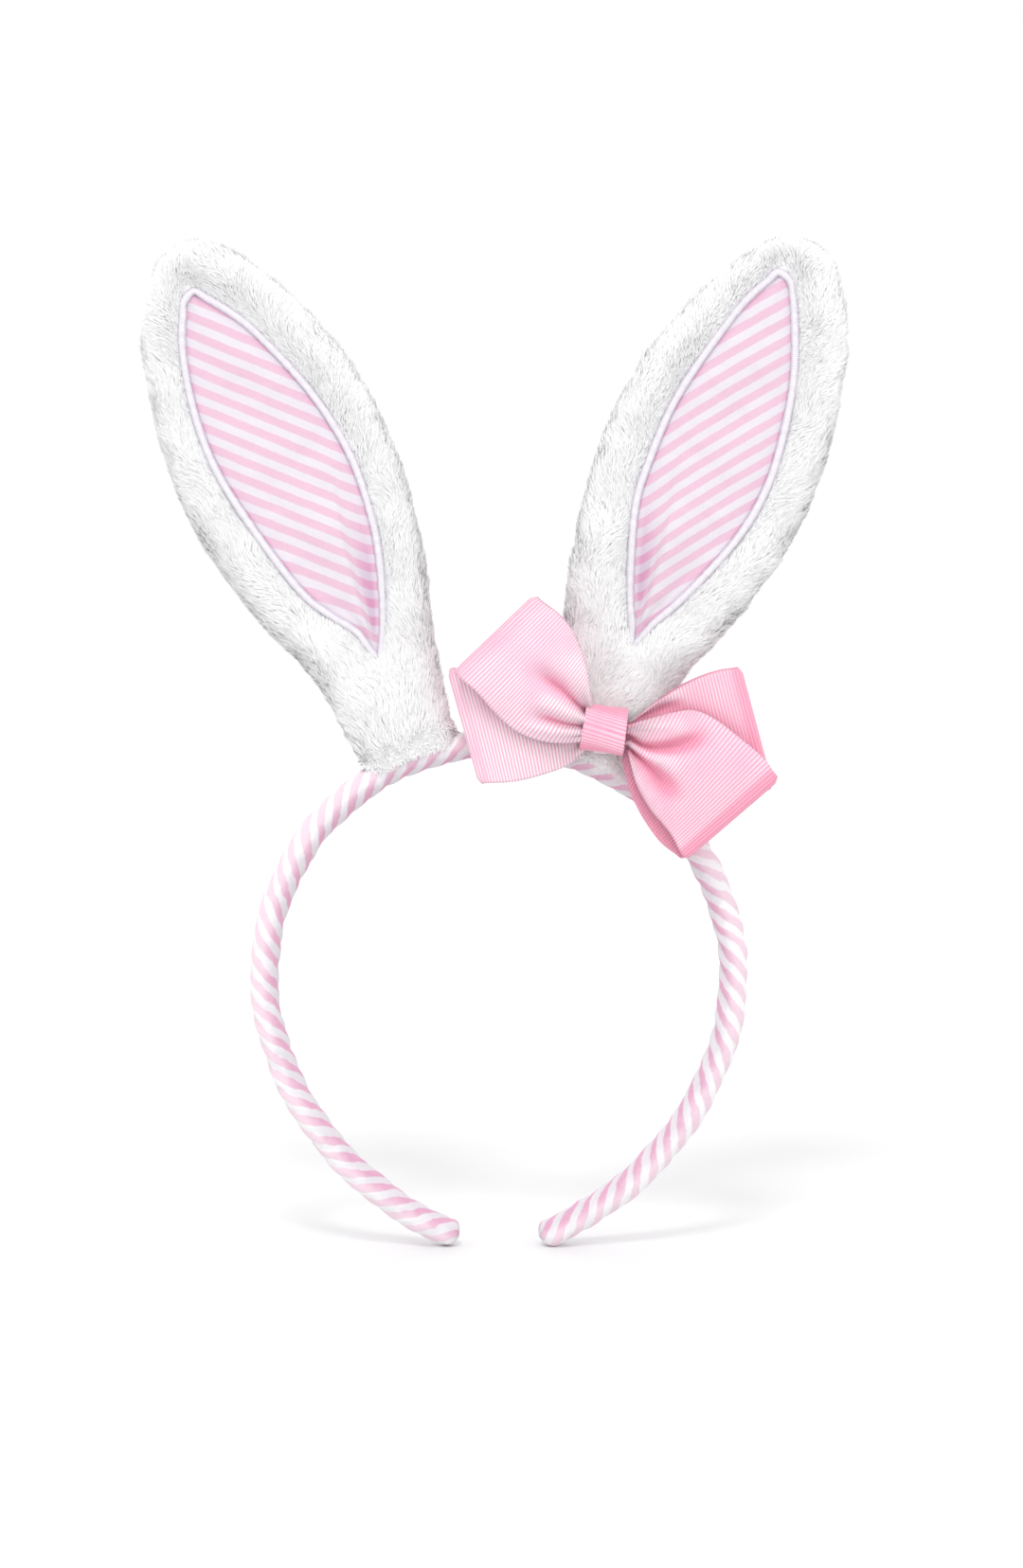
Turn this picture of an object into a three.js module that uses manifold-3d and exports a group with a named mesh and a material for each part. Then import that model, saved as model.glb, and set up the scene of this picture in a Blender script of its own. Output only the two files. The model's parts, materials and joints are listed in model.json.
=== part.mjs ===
// Bunny ears headband: a padded, fabric-wound alice band with two plush ears and a grosgrain bow.
// Millimetres, +Z up, the front towards -Y. The origin is the middle of the crown's underside.
import * as THREE from "three";
import { ParametricGeometry } from "three/addons/geometries/ParametricGeometry.js";
import { mergeVertices } from "three/addons/utils/BufferGeometryUtils.js";
import Module from "manifold-3d";

const { degToRad, lerp, smoothstep } = THREE.MathUtils;
const Y_AXIS = new THREE.Vector3(0, 1, 0);

// ---- driving dimensions -------------------------------------------------------------------------

const SIDES = { left: -1, right: 1 }; // sign of x
const GAP = 0.3; // between pieces that touch
const BEYOND = 200; // longer than the whole headband, for cutting with

// Band: an oval tube, a little deeper from front to back than it is thick across the hoop.
const BAND_THICK = 7;
const BAND_DEPTH = 8.5;
const WRAP_WALL = 0.6;
const CORE_THICK = 1.8;
const CORE_DEPTH = 5;
const BAND_STEP = 7; // length of one facet along the band
const OVAL_SEGMENTS = 7; // facets round half of the oval

// Hoop centreline: a crown arc, then a wider arc down each leg. Angles are from the top.
const CROWN_RADIUS = 61.5;
const CROWN_ARC = degToRad(110);
const LEG_RADIUS = 82;
const LEG_ARC = degToRad(46);
const SHOULDER = degToRad(52); // where the band flexes, each side
const SHOULDER_GAP = 0.7; // lets a leg close by four degrees before the ends meet

// Ears, which stand square to the band.
const EAR_LEAN = degToRad(23.2);
const EAR_LENGTH = 145;
const EAR_HALF_DEPTH = 6.5;
const EAR_EDGE_ROUND = 4.5;
const POCKET = { inset: 1.5, halfDepth: 1.6 };
const LINING = { inset: 5, halfDepth: 1.2 };
const WIRE = { inset: 3, radius: 0.7 };
const LINING_FOOT = 4; // where the lining and the wire end, above the band
const PANEL_THICK = 0.8;
const PANEL_FACE = 4.7; // in front of the ear's middle plane
const BORDER_RADIUS = 1;
const TAB = { thick: 0.8, depth: 5, arc: degToRad(20) };

// Bow: two closed loops of ribbon, crossed, gathered by a thread and held by a ribbon knot.
const BOW_X = 28.4;
const BOW_Z = 7.5;
const BOW_TILT = degToRad(13);
const RIBBON = { width: 32, thick: 0.6 };
const GATHER = { width: 8.4, thick: 1.2, reach: 6.3 };
const FRONT_LOOP = { reach: 39, tilt: degToRad(25.5), skew: degToRad(10), puff: 6, push: -3.6 };
const BACK_LOOP = { reach: 38, tilt: degToRad(-16.2), skew: degToRad(-12), puff: 6, push: 0 };
const LOOPS_APART = 0.9; // between the two gathered loops
const THREAD = { thick: 0.6, width: 3 };
const KNOT = { thick: 0.7, width: 12.5 };
const GLUE = { x: 28.5, y: -5.6, z: -0.6, half: [5, 1.5, 2] };

// ---- materials ----------------------------------------------------------------------------------

function material(color, roughness, metalness = 0) {
  return new THREE.MeshStandardMaterial({ color, roughness, metalness });
}

const PLUSH = material(0xf1f1f0, 0.95);
const STRIPED_COTTON = material(0xf6dcea, 0.85);
const WRAP_COTTON = material(0xf4d6e5, 0.8);
const SATIN_THREAD = material(0xf0eaf1, 0.45);
const GROSGRAIN = material(0xfcc3db, 0.6);
const WHITE_PLASTIC = material(0xe9e6e0, 0.5);
const FOAM = material(0xf4f0ea, 0.95);
const FLEECE = material(0xf7f7f5, 0.95);
const STEEL_WIRE = material(0xb9bcc0, 0.35, 1);
const WHITE_FELT = material(0xf2eeee, 0.95);
const CLEAR_GLUE = material(0xe8e2cf, 0.3);
const PINK_THREAD = material(0xee8fb2, 0.7);

function piece(name, geometry, finish) {
  const mesh = new THREE.Mesh(geometry, finish);
  mesh.name = name;
  return mesh;
}

// ---- solids that are joined and cut -------------------------------------------------------------

const wasm = await Module();
wasm.setup();

function solid(geometry) {
  const bare = geometry.clone();
  bare.deleteAttribute("normal");
  bare.deleteAttribute("uv");
  const merged = mergeVertices(bare, 1e-4);
  const vertProperties = merged.attributes.position.array;
  const triVerts = new Uint32Array(merged.index.array);
  return new wasm.Manifold(new wasm.Mesh({ numProp: 3, vertProperties, triVerts }));
}

function geometryOf(manifold) {
  const mesh = manifold.getMesh();
  const geometry = new THREE.BufferGeometry();
  geometry.setAttribute("position", new THREE.BufferAttribute(mesh.vertProperties, 3));
  geometry.setIndex(new THREE.BufferAttribute(mesh.triVerts, 1));
  geometry.computeVertexNormals();
  return geometry;
}

function box(width, depth, height, x, y, z) {
  return new THREE.BoxGeometry(width, depth, height).translate(x, y, z);
}

// ---- outlines -----------------------------------------------------------------------------------

function rectangle(width, height, round = 0) {
  const x = width / 2;
  const y = height / 2;
  const shape = new THREE.Shape();
  if (round === 0) {
    return shape.moveTo(-x, -y).lineTo(x, -y).lineTo(x, y).lineTo(-x, y);
  }
  shape.absarc(x - round, y - round, round, 0, Math.PI / 2);
  shape.absarc(round - x, y - round, round, Math.PI / 2, Math.PI);
  shape.absarc(round - x, round - y, round, Math.PI, 1.5 * Math.PI);
  return shape.absarc(x - round, round - y, round, 1.5 * Math.PI, 2 * Math.PI);
}

function oval(width, height) {
  return new THREE.Shape().absellipse(0, 0, width / 2, height / 2, 0, 2 * Math.PI);
}

// Points of a clockwise curve, moved outwards by a distance; below zero moves them inwards.
function offsetPoints(curve, outwards, count) {
  return Array.from({ length: count + 1 }, (_, i) => {
    const tangent = curve.getTangent(i / count);
    const normal = new THREE.Vector2(-tangent.y, tangent.x);
    return curve.getPoint(i / count).addScaledVector(normal, outwards);
  });
}

// ---- band ---------------------------------------------------------------------------------------

const CROWN_CENTRE_Z = BAND_THICK / 2 - CROWN_RADIUS;
const CROWN_LENGTH = CROWN_RADIUS * CROWN_ARC;
const TIP = CROWN_LENGTH + LEG_RADIUS * LEG_ARC;
const SHOULDER_END = CROWN_RADIUS * SHOULDER;

// A point of the hoop's centreline by its distance along it from the top, below zero on the left.
function bandPoint(distance) {
  const along = Math.abs(distance);
  const onLeg = along > CROWN_LENGTH;
  const angle = onLeg ? CROWN_ARC + (along - CROWN_LENGTH) / LEG_RADIUS : along / CROWN_RADIUS;
  const radius = onLeg ? LEG_RADIUS : CROWN_RADIUS;
  const shift = CROWN_RADIUS - radius; // between the centres of the two arcs
  const x = shift * Math.sin(CROWN_ARC) + radius * Math.sin(angle);
  const z = CROWN_CENTRE_Z + shift * Math.cos(CROWN_ARC) + radius * Math.cos(angle);
  return new THREE.Vector3(Math.sign(distance) * x, 0, z);
}

class BandCurve extends THREE.Curve {
  constructor(from, to) {
    super();
    this.from = from;
    this.to = to;
  }

  getPoint(t, target = new THREE.Vector3()) {
    return target.copy(bandPoint(lerp(this.from, this.to, t)));
  }
}

// A section swept along the band, its width running from front to back.
function sweep(section, from, to) {
  const steps = Math.round(Math.abs(to - from) / BAND_STEP);
  const extrudePath = new BandCurve(from, to);
  return new THREE.ExtrudeGeometry(section, { steps, extrudePath, curveSegments: OVAL_SEGMENTS });
}

function wrapSection() {
  const section = oval(BAND_DEPTH, BAND_THICK);
  section.holes.push(oval(BAND_DEPTH - 2 * WRAP_WALL, BAND_THICK - 2 * WRAP_WALL));
  return section;
}

function paddingSection() {
  const skin = 2 * (WRAP_WALL + GAP);
  const section = oval(BAND_DEPTH - skin, BAND_THICK - skin);
  section.holes.push(rectangle(CORE_DEPTH + 2 * GAP, CORE_THICK + 2 * GAP));
  return section;
}

function bandStretch(name, from, to) {
  const core = rectangle(CORE_DEPTH, CORE_THICK);
  return [
    piece("core_" + name, sweep(core, from, to), WHITE_PLASTIC),
    piece("padding_" + name, sweep(paddingSection(), from, to), FOAM),
    piece("wrap_" + name, sweep(wrapSection(), from, to), WRAP_COTTON),
  ];
}

// The wound fabric folded in over a tip: half an oval ball, its flat side against the band's end.
function wrapEnd(name, side) {
  const radius = BAND_THICK / 2;
  const dome = new THREE.EllipseCurve(0, 0, radius, radius, 0, Math.PI / 2).getPoints(4);
  const profile = [new THREE.Vector2(0, 0), ...dome];
  profile.at(-1).x = 0;
  const end = piece(name, new THREE.LatheGeometry(profile, 2 * OVAL_SEGMENTS), WRAP_COTTON);
  const outwards = bandPoint(side * (TIP + 1)).sub(bandPoint(side * TIP)).normalize();
  const across = new THREE.Vector3().crossVectors(Y_AXIS, outwards);
  end.setRotationFromMatrix(new THREE.Matrix4().makeBasis(Y_AXIS, outwards, across));
  end.scale.x = BAND_DEPTH / BAND_THICK;
  end.position.copy(bandPoint(side * (TIP + GAP)));
  return end;
}

function band() {
  const group = new THREE.Group();
  group.add(...bandStretch("crown", -SHOULDER_END, SHOULDER_END));
  for (const [name, side] of Object.entries(SIDES)) {
    const start = side * (SHOULDER_END + SHOULDER_GAP);
    group.add(...bandStretch("leg_" + name, start, side * TIP));
    group.add(wrapEnd("wrap_end_" + name, side));
  }
  return group;
}

// ---- ears ---------------------------------------------------------------------------------------

// Ear outlines: x runs towards the hoop's middle and y up the ear, from the top of the band.
const FOOT_GAP = TAB.thick + 2 * GAP;
const BEND_HEIGHT = FOOT_GAP + EAR_HALF_DEPTH;
const EAR_SAMPLES = 34;
const LEAF_SAMPLES = 16;
const HEEL_SEGMENTS = 24;
const BORDER_SEGMENTS = { along: 56, round: 6 };

const EAR_CURVE = new THREE.SplineCurve(
  [
    [-11.3, FOOT_GAP], [-14.6, 24], [-23, 48], [-28.1, 74], [-26.6, 100], [-20, 125], [-9, 141.5],
    [0, EAR_LENGTH],
    [9, 141.5], [20, 124], [28.6, 98], [29.8, 72], [26.2, 48], [19.4, 22], [13.2, FOOT_GAP],
  ].map(([x, y]) => new THREE.Vector2(x, y)),
);

// The striped panel is a leaf: one curve up its outer side, and one down its inner side.
const LEAF_CURVES = [
  [[3.4, 28], [-4.6, 48], [-12.4, 75], [-11.6, 100], [-5, 122], [0.8, 131.5]],
  [[0.8, 131.5], [7, 122], [14.4, 100], [17, 75], [12.3, 48], [3.4, 28]],
].map((points) => new THREE.SplineCurve(points.map(([x, y]) => new THREE.Vector2(x, y))));

function earShape(inset, foot) {
  const points = offsetPoints(EAR_CURVE, -inset, EAR_SAMPLES);
  points[0].y = foot;
  points.at(-1).y = foot;
  return new THREE.Shape(points);
}

// The leaf, grown outwards by a distance, with its two corners rounded.
function leafShape(outwards) {
  const [up, down] = LEAF_CURVES.map((curve) => offsetPoints(curve, outwards, LEAF_SAMPLES));
  const roundCorner = (corner, before, after) => {
    const out = before.clone().add(after).sub(corner).sub(corner).normalize();
    return corner.clone().addScaledVector(out, outwards);
  };
  const [tip, foot] = LEAF_CURVES.map((curve) => curve.getPoint(1));
  const points = [...up, roundCorner(tip, up.at(-1), down[0])];
  points.push(...down, roundCorner(foot, down.at(-1), up[0]));
  return new THREE.Shape(points.filter((p, i) => p.distanceTo(points.at(i - 1)) > 0.01));
}

// A shape stood up in the ear's plane: from `back` to `front` in front of the ear's middle.
function plate(shape, back, front, round = 0) {
  const options = {
    depth: front - back - 2 * round,
    bevelEnabled: round > 0,
    bevelThickness: round,
    bevelSize: round,
    bevelOffset: -round,
    bevelSegments: 3,
  };
  const geometry = new THREE.ExtrudeGeometry(shape, options);
  return geometry.translate(0, 0, back + round).rotateX(Math.PI / 2);
}

// The stuffed ear as one cushion, its foot rounded about the bend so that it turns above the band.
function earCushion() {
  const cushion = plate(earShape(0, FOOT_GAP), -EAR_HALF_DEPTH, EAR_HALF_DEPTH, EAR_EDGE_ROUND);
  const above = box(BEYOND, BEYOND, BEYOND, 0, 0, BEND_HEIGHT + BEYOND / 2);
  const heel = new THREE.CylinderGeometry(EAR_HALF_DEPTH, EAR_HALF_DEPTH, BEYOND, HEEL_SEGMENTS);
  heel.rotateZ(Math.PI / 2).translate(0, 0, BEND_HEIGHT);
  return solid(cushion).intersect(solid(above).add(solid(heel)));
}

function furShells(prefix) {
  const cushion = earCushion();
  const pocket = solid(plate(earShape(POCKET.inset, -FOOT_GAP), -POCKET.halfDepth, POCKET.halfDepth));
  const recessFloor = PANEL_FACE - PANEL_THICK - GAP;
  const recess = solid(plate(leafShape(2 * BORDER_RADIUS + 4 * GAP), recessFloor, 2 * EAR_HALF_DEPTH));
  const middle = (BEYOND + GAP) / 2;
  const frontHalf = solid(box(BEYOND, BEYOND, 2 * BEYOND, 0, -middle, 0));
  const backHalf = solid(box(BEYOND, BEYOND, 2 * BEYOND, 0, middle, 0));
  const front = cushion.intersect(frontHalf).subtract(pocket).subtract(recess);
  const back = cushion.intersect(backHalf).subtract(pocket);
  return [
    piece(prefix + "_fur_front", geometryOf(front), PLUSH),
    piece(prefix + "_fur_back", geometryOf(back), PLUSH),
  ];
}

// The satin-stitch ridge that runs all round the striped panel.
function satinBorder(name) {
  const outwards = 2 * GAP + BORDER_RADIUS;
  const y = -(PANEL_FACE - PANEL_THICK + BORDER_RADIUS);
  const points = leafShape(outwards).getPoints();
  const path = new THREE.CatmullRomCurve3(points.map((p) => new THREE.Vector3(p.x, y, p.y)), true);
  const forwards = new THREE.Vector3(0, -1, 0);
  const surface = (u, v, target) => {
    const across = new THREE.Vector3().crossVectors(path.getTangentAt(u % 1), forwards);
    const turn = 2 * Math.PI * v;
    path.getPointAt(u % 1, target);
    target.addScaledVector(across, BORDER_RADIUS * Math.cos(turn));
    target.addScaledVector(forwards, BORDER_RADIUS * Math.sin(turn));
  };
  const geometry = new ParametricGeometry(surface, BORDER_SEGMENTS.along, BORDER_SEGMENTS.round);
  return piece(name, geometry, SATIN_THREAD);
}

// A wire hoop inside the ear's seam, open at the foot.
function earWire(name) {
  const points = offsetPoints(EAR_CURVE, -WIRE.inset, 2 * LEAF_SAMPLES);
  points[0].y = LINING_FOOT;
  points.at(-1).y = LINING_FOOT;
  const extrudePath = new THREE.CatmullRomCurve3(points.map((p) => new THREE.Vector3(p.x, 0, p.y)));
  const section = oval(2 * WIRE.radius, 2 * WIRE.radius);
  const options = { steps: EAR_SAMPLES, extrudePath, curveSegments: 3 };
  return piece(name, new THREE.ExtrudeGeometry(section, options), STEEL_WIRE);
}

function ear(name, side) {
  const prefix = "ear_" + name;
  const panel = plate(leafShape(0), PANEL_FACE - PANEL_THICK, PANEL_FACE);
  const lining = plate(earShape(LINING.inset, LINING_FOOT), -LINING.halfDepth, LINING.halfDepth);
  const group = new THREE.Group();
  group.add(
    ...furShells(prefix),
    piece(prefix + "_inner_panel", panel, STRIPED_COTTON),
    satinBorder(prefix + "_satin_border"),
    piece(prefix + "_lining", lining, FLEECE),
    earWire(prefix + "_wire"),
  );
  const lean = side * EAR_LEAN;
  const radius = CROWN_RADIUS + BAND_THICK / 2;
  group.rotation.y = lean;
  group.position.set(radius * Math.sin(lean), 0, CROWN_CENTRE_Z + radius * Math.cos(lean));
  group.scale.x = -side;
  return group;
}

// The felt tab that an ear's foot is sewn to, glued round the top of the band.
function earTab(name, side) {
  const inner = CROWN_RADIUS + BAND_THICK / 2 + GAP;
  const middle = Math.PI / 2 - side * EAR_LEAN;
  const shape = new THREE.Shape();
  shape.absarc(0, 0, inner, middle - TAB.arc / 2, middle + TAB.arc / 2);
  shape.absarc(0, 0, inner + TAB.thick, middle + TAB.arc / 2, middle - TAB.arc / 2, true);
  const options = { depth: TAB.depth, bevelEnabled: false, curveSegments: 6 };
  const geometry = new THREE.ExtrudeGeometry(shape, options);
  geometry.translate(0, 0, -TAB.depth / 2).rotateX(Math.PI / 2).translate(0, 0, CROWN_CENTRE_Z);
  return piece("ear_" + name + "_tab", geometry, WHITE_FELT);
}

// ---- bow ----------------------------------------------------------------------------------------

const LOOP_STACK = 2 * GATHER.thick + GAP; // one gathered loop, front to back
const STACK = 2 * LOOP_STACK + LOOPS_APART;
const THREAD_ROOM = GAP + THREAD.thick + GAP;
const BOW_Y = -EAR_HALF_DEPTH - GAP - KNOT.thick - THREAD_ROOM - STACK / 2;
const LOOP_SEGMENTS = 48;
const SMALL_STEP = 1e-4; // of a loop's length, for finding its direction

// A closed loop of ribbon: narrow and thick where it is gathered, and full width at its two folds.
// It fans out about the knot by its tilt, and its folds lie askew to it by its skew.
// u runs along the ribbon and v round its four-cornered section.
function ribbonLoop(name, { reach, tilt, skew, puff, push }, y) {
  const edge = (u) => {
    const turn = 2 * Math.PI * u;
    const open = Math.sin(turn) ** 2;
    const halfGap = (GATHER.thick + GAP) / 2 + puff * open;
    const pushed = 4 * push * open * (1 - open);
    return new THREE.Vector2(reach * Math.sin(turn), pushed - Math.cos(turn) * halfGap);
  };
  const surface = (u, v, target) => {
    const at = edge(u);
    const ahead = edge(u + SMALL_STEP).sub(edge(u - SMALL_STEP)).normalize();
    const far = smoothstep(Math.abs(at.x), GATHER.reach, 0.8 * reach);
    const width = lerp(GATHER.width, RIBBON.width, far);
    const thick = lerp(GATHER.thick, RIBBON.thick, smoothstep(Math.abs(at.x), 0, 2 * GATHER.reach));
    const corner = Math.round(4 * v) % 4;
    const out = (corner === 0 || corner === 3 ? 0.5 : -0.5) * thick;
    const up = (corner < 2 ? 0.5 : -0.5) * width;
    const fan = smoothstep(Math.abs(at.x), GATHER.reach / 2, reach / 2);
    const across = new THREE.Vector3(0, 0, up).applyAxisAngle(Y_AXIS, fan * (tilt + skew));
    target.set(at.x + ahead.y * out, at.y - ahead.x * out, 0).applyAxisAngle(Y_AXIS, fan * tilt);
    target.add(across);
    target.y += y;
  };
  return piece(name, new ParametricGeometry(surface, LOOP_SEGMENTS, 4), GROSGRAIN);
}

// A band round the gathered loops, `room` away from them.
function gatherRing(name, room, { thick, width }, finish) {
  const inner = { x: STACK + 2 * room, y: GATHER.width + 2 * room };
  const shape = rectangle(inner.x + 2 * thick, inner.y + 2 * thick, room + thick);
  shape.holes.push(rectangle(inner.x, inner.y, room));
  const options = { depth: width, bevelEnabled: false, curveSegments: 4 };
  const geometry = new THREE.ExtrudeGeometry(shape, options);
  geometry.translate(0, 0, -width / 2).rotateX(Math.PI / 2).rotateZ(Math.PI / 2);
  return piece(name, geometry, finish);
}

function bow() {
  const group = new THREE.Group();
  const apart = (LOOP_STACK + LOOPS_APART) / 2;
  group.add(
    ribbonLoop("bow_front_loop", FRONT_LOOP, -apart),
    ribbonLoop("bow_back_loop", BACK_LOOP, apart),
    gatherRing("bow_tie_thread", GAP, THREAD, PINK_THREAD),
    gatherRing("bow_knot", THREAD_ROOM, KNOT, GROSGRAIN),
  );
  group.position.set(BOW_X, BOW_Y, BOW_Z);
  group.rotation.y = BOW_TILT;
  return group;
}

// The glue between the front of the band and the back of the knot.
function bowGlue() {
  const bead = piece("bow_glue", new THREE.SphereGeometry(1, 12, 8), CLEAR_GLUE);
  bead.scale.set(...GLUE.half);
  bead.position.set(GLUE.x, GLUE.y, GLUE.z);
  return bead;
}

// ---- the headband -------------------------------------------------------------------------------

const headband = new THREE.Group();
headband.add(band());
for (const [name, side] of Object.entries(SIDES)) {
  headband.add(ear(name, side), earTab(name, side));
}
headband.add(bow(), bowGlue());

export default headband;
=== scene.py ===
"""Bunny ears headband: a padded band wound in striped cotton, two plush ears and a grosgrain bow.

Shapes are worked out in millimetres in the part's frame, and turned to metres when a mesh is made.
"""

import json
import math

import bmesh
import bpy
import numpy as np
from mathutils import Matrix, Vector, kdtree


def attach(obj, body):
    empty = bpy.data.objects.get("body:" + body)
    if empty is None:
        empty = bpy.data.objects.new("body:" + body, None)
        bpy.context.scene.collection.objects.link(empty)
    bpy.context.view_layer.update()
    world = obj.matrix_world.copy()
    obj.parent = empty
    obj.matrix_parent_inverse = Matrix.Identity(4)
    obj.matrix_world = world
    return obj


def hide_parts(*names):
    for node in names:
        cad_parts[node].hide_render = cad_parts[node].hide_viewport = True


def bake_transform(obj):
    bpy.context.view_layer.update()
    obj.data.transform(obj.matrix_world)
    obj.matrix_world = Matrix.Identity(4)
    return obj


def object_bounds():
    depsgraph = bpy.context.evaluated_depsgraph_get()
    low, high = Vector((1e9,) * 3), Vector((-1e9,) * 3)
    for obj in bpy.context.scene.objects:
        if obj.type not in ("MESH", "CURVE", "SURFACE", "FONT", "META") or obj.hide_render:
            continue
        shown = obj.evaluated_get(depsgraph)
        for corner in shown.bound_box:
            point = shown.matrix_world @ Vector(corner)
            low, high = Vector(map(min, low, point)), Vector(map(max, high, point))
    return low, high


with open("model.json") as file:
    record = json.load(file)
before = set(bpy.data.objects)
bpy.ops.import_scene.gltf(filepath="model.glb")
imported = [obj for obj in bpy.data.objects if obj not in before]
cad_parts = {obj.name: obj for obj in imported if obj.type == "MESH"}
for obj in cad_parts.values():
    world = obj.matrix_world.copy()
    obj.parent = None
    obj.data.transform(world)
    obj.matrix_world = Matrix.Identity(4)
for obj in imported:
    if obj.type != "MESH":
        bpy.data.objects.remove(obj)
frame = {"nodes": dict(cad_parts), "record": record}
cad_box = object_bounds()
record = frame["record"]

MM = 0.001
TURN = 2 * math.pi
SIDES = {"left": -1, "right": 1}

# ---- the frame's dimensions, as in the part ----

BAND_HALF = (4.25, 3.5)  # half depth, half thickness
CROWN_RADIUS, CROWN_ARC = 61.5, math.radians(110)
LEG_RADIUS, LEG_ARC = 82, math.radians(46)
CROWN_CENTRE_Z = BAND_HALF[1] - CROWN_RADIUS
CROWN_LENGTH = CROWN_RADIUS * CROWN_ARC
BAND_END = CROWN_LENGTH + LEG_RADIUS * LEG_ARC + 0.3
EAR_LEAN = math.radians(23.2)
EAR_ORIGIN_RADIUS = CROWN_RADIUS + BAND_HALF[1]
BOW_CENTRE = (28.4, 7.0)

# ---- numbers to shapes ----


def unit(v):
    """Vectors of length 1 that point the same way."""
    return v / np.maximum(np.linalg.norm(v, axis=-1, keepdims=True), 1e-9)


def smooth(x, low=0.0, high=1.0):
    """From 0 at `low` to 1 at `high`, level at both ends. `low` may be the larger one."""
    t = np.clip((np.asarray(x, float) - low) / (high - low), 0, 1)
    return t * t * (3 - 2 * t)


def vectors(*coordinates):
    """Points or directions from their coordinates, each an array or a single number."""
    return np.stack(np.broadcast_arrays(*coordinates), axis=-1)


def turned(x, z, angle):
    """The two coordinates after a turn in the front view."""
    return math.cos(angle) * x + math.sin(angle) * z, math.cos(angle) * z - math.sin(angle) * x


def waves(points, size, seed):
    """Smooth noise, mostly from -1 to 1, at 3-D points. Its lumps are about `size` across."""
    rng = np.random.default_rng(seed)
    count = 16
    ways = unit(rng.normal(size=(count, 3))) * math.pi / (size * rng.uniform(0.6, 1.5, (count, 1)))
    phases = rng.uniform(0, TURN, count)
    return np.sin(points @ ways.T + phases).sum(1) / math.sqrt(count)


def smooth_path(points, count, closed=False):
    """`count` evenly spaced points of a smooth curve through `points`."""
    p = np.asarray(points, float)
    if closed:
        p = np.vstack([p[-1], p, p[0], p[1]])
    else:
        p = np.vstack([2 * p[0] - p[1], p, 2 * p[-1] - p[-2]])
    t = np.linspace(0, 1, 24, endpoint=False)[:, None]
    dense = [
        (2 * b + (c - a) * t + (2 * a - 5 * b + 4 * c - d) * t**2 + (3 * b - a - 3 * c + d) * t**3) / 2
        for a, b, c, d in zip(p, p[1:], p[2:], p[3:])
    ]
    dense = np.vstack([*dense, p[-2]])
    return even_points(dense, count, not closed)


def even_points(dense, count, last=True):
    """`count` evenly spaced points along a line of many points, with or without its last one."""
    length = np.r_[0, np.cumsum(np.linalg.norm(np.diff(dense, axis=0), axis=1))]
    at = np.linspace(0, length[-1], count, endpoint=last)
    return np.column_stack([np.interp(at, length, dense[:, k]) for k in range(dense.shape[1])])


def grid_faces(rows, columns, closed_rows=False, closed_columns=False):
    """Quads between the points of a grid that is laid out row by row."""
    i = np.arange(rows if closed_rows else rows - 1)[:, None]
    j = np.arange(columns if closed_columns else columns - 1)[None, :]
    down, across = (i + 1) % rows, (j + 1) % columns
    corners = [i * columns + j, i * columns + across, down * columns + across, down * columns + j]
    return vectors(*corners).reshape(-1, 4)


def grid_normals(points, closed_rows=False):
    """Normals of a grid of points, rows x columns x 3."""
    if closed_rows:
        down = np.roll(points, -1, 0) - np.roll(points, 1, 0)
    else:
        down = np.gradient(points, axis=0)
    return unit(np.cross(down, np.gradient(points, axis=1)))


def mesh_piece(name, points, quads, triangles=(), uv=None):
    """A smooth-shaded mesh object from points in millimetres."""
    points = np.asarray(points).reshape(-1, 3)
    triangles = np.asarray(triangles, int).reshape(-1, 3)
    quads = np.asarray(quads, int).reshape(-1, 4)
    corners = np.concatenate([quads.ravel(), triangles.ravel()])
    starts = np.concatenate([np.arange(len(quads)) * 4, quads.size + np.arange(len(triangles)) * 3])
    mesh = bpy.data.meshes.new(name)
    mesh.vertices.add(len(points))
    mesh.vertices.foreach_set("co", (points * MM).astype(np.float32).ravel())
    mesh.loops.add(len(corners))
    mesh.loops.foreach_set("vertex_index", corners.astype(np.int32))
    mesh.polygons.add(len(starts))
    mesh.polygons.foreach_set("loop_start", starts.astype(np.int32))
    mesh.update(calc_edges=True)
    mesh.polygons.foreach_set("use_smooth", np.ones(len(starts), bool))
    if uv is not None:
        layer = mesh.uv_layers.new(name="cloth")
        layer.uv.foreach_set("vector", uv.reshape(-1, 2)[corners].astype(np.float32).ravel())
    piece = bpy.data.objects.new(name, mesh)
    bpy.context.scene.collection.objects.link(piece)
    return piece


def mark(piece, name, values):
    """Gives each of a piece's points a number that its material reads."""
    marks = piece.data.attributes.new(name, "FLOAT", "POINT")
    marks.data.foreach_set("value", values.astype(np.float32).ravel())


def thick_sheet(name, middle, half, uv, painted_shade, closed_rows=False):
    """A sheet with two faces: `middle` is its grid of points and `half` its half thickness there."""
    normals = grid_normals(middle, closed_rows) * np.broadcast_to(half, middle.shape[:2])[..., None]
    ring = np.concatenate([middle + normals, (middle - normals)[:, ::-1]], axis=1)
    ring_uv = np.concatenate([uv, uv[:, ::-1]], axis=1)
    piece = mesh_piece(name, ring, grid_faces(*ring.shape[:2], closed_rows, True), uv=ring_uv)
    # Painted shade for the material, the same on both faces; below zero, a painted highlight.
    mark(piece, "painted_shade", np.concatenate([painted_shade, painted_shade[:, ::-1]], axis=1))
    return piece


def sealed(piece, weld_mm=0.0):
    """Joins points closer than `weld_mm`, fills the open rims and turns all the faces out."""
    b = bmesh.new()
    b.from_mesh(piece.data)
    if weld_mm:
        bmesh.ops.remove_doubles(b, verts=b.verts, dist=weld_mm * MM)
    bmesh.ops.holes_fill(b, edges=[e for e in b.edges if e.is_boundary], sides=0)
    bmesh.ops.recalc_face_normals(b, faces=b.faces)
    b.to_mesh(piece.data)
    b.free()
    return piece


# ---- materials ----


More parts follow.
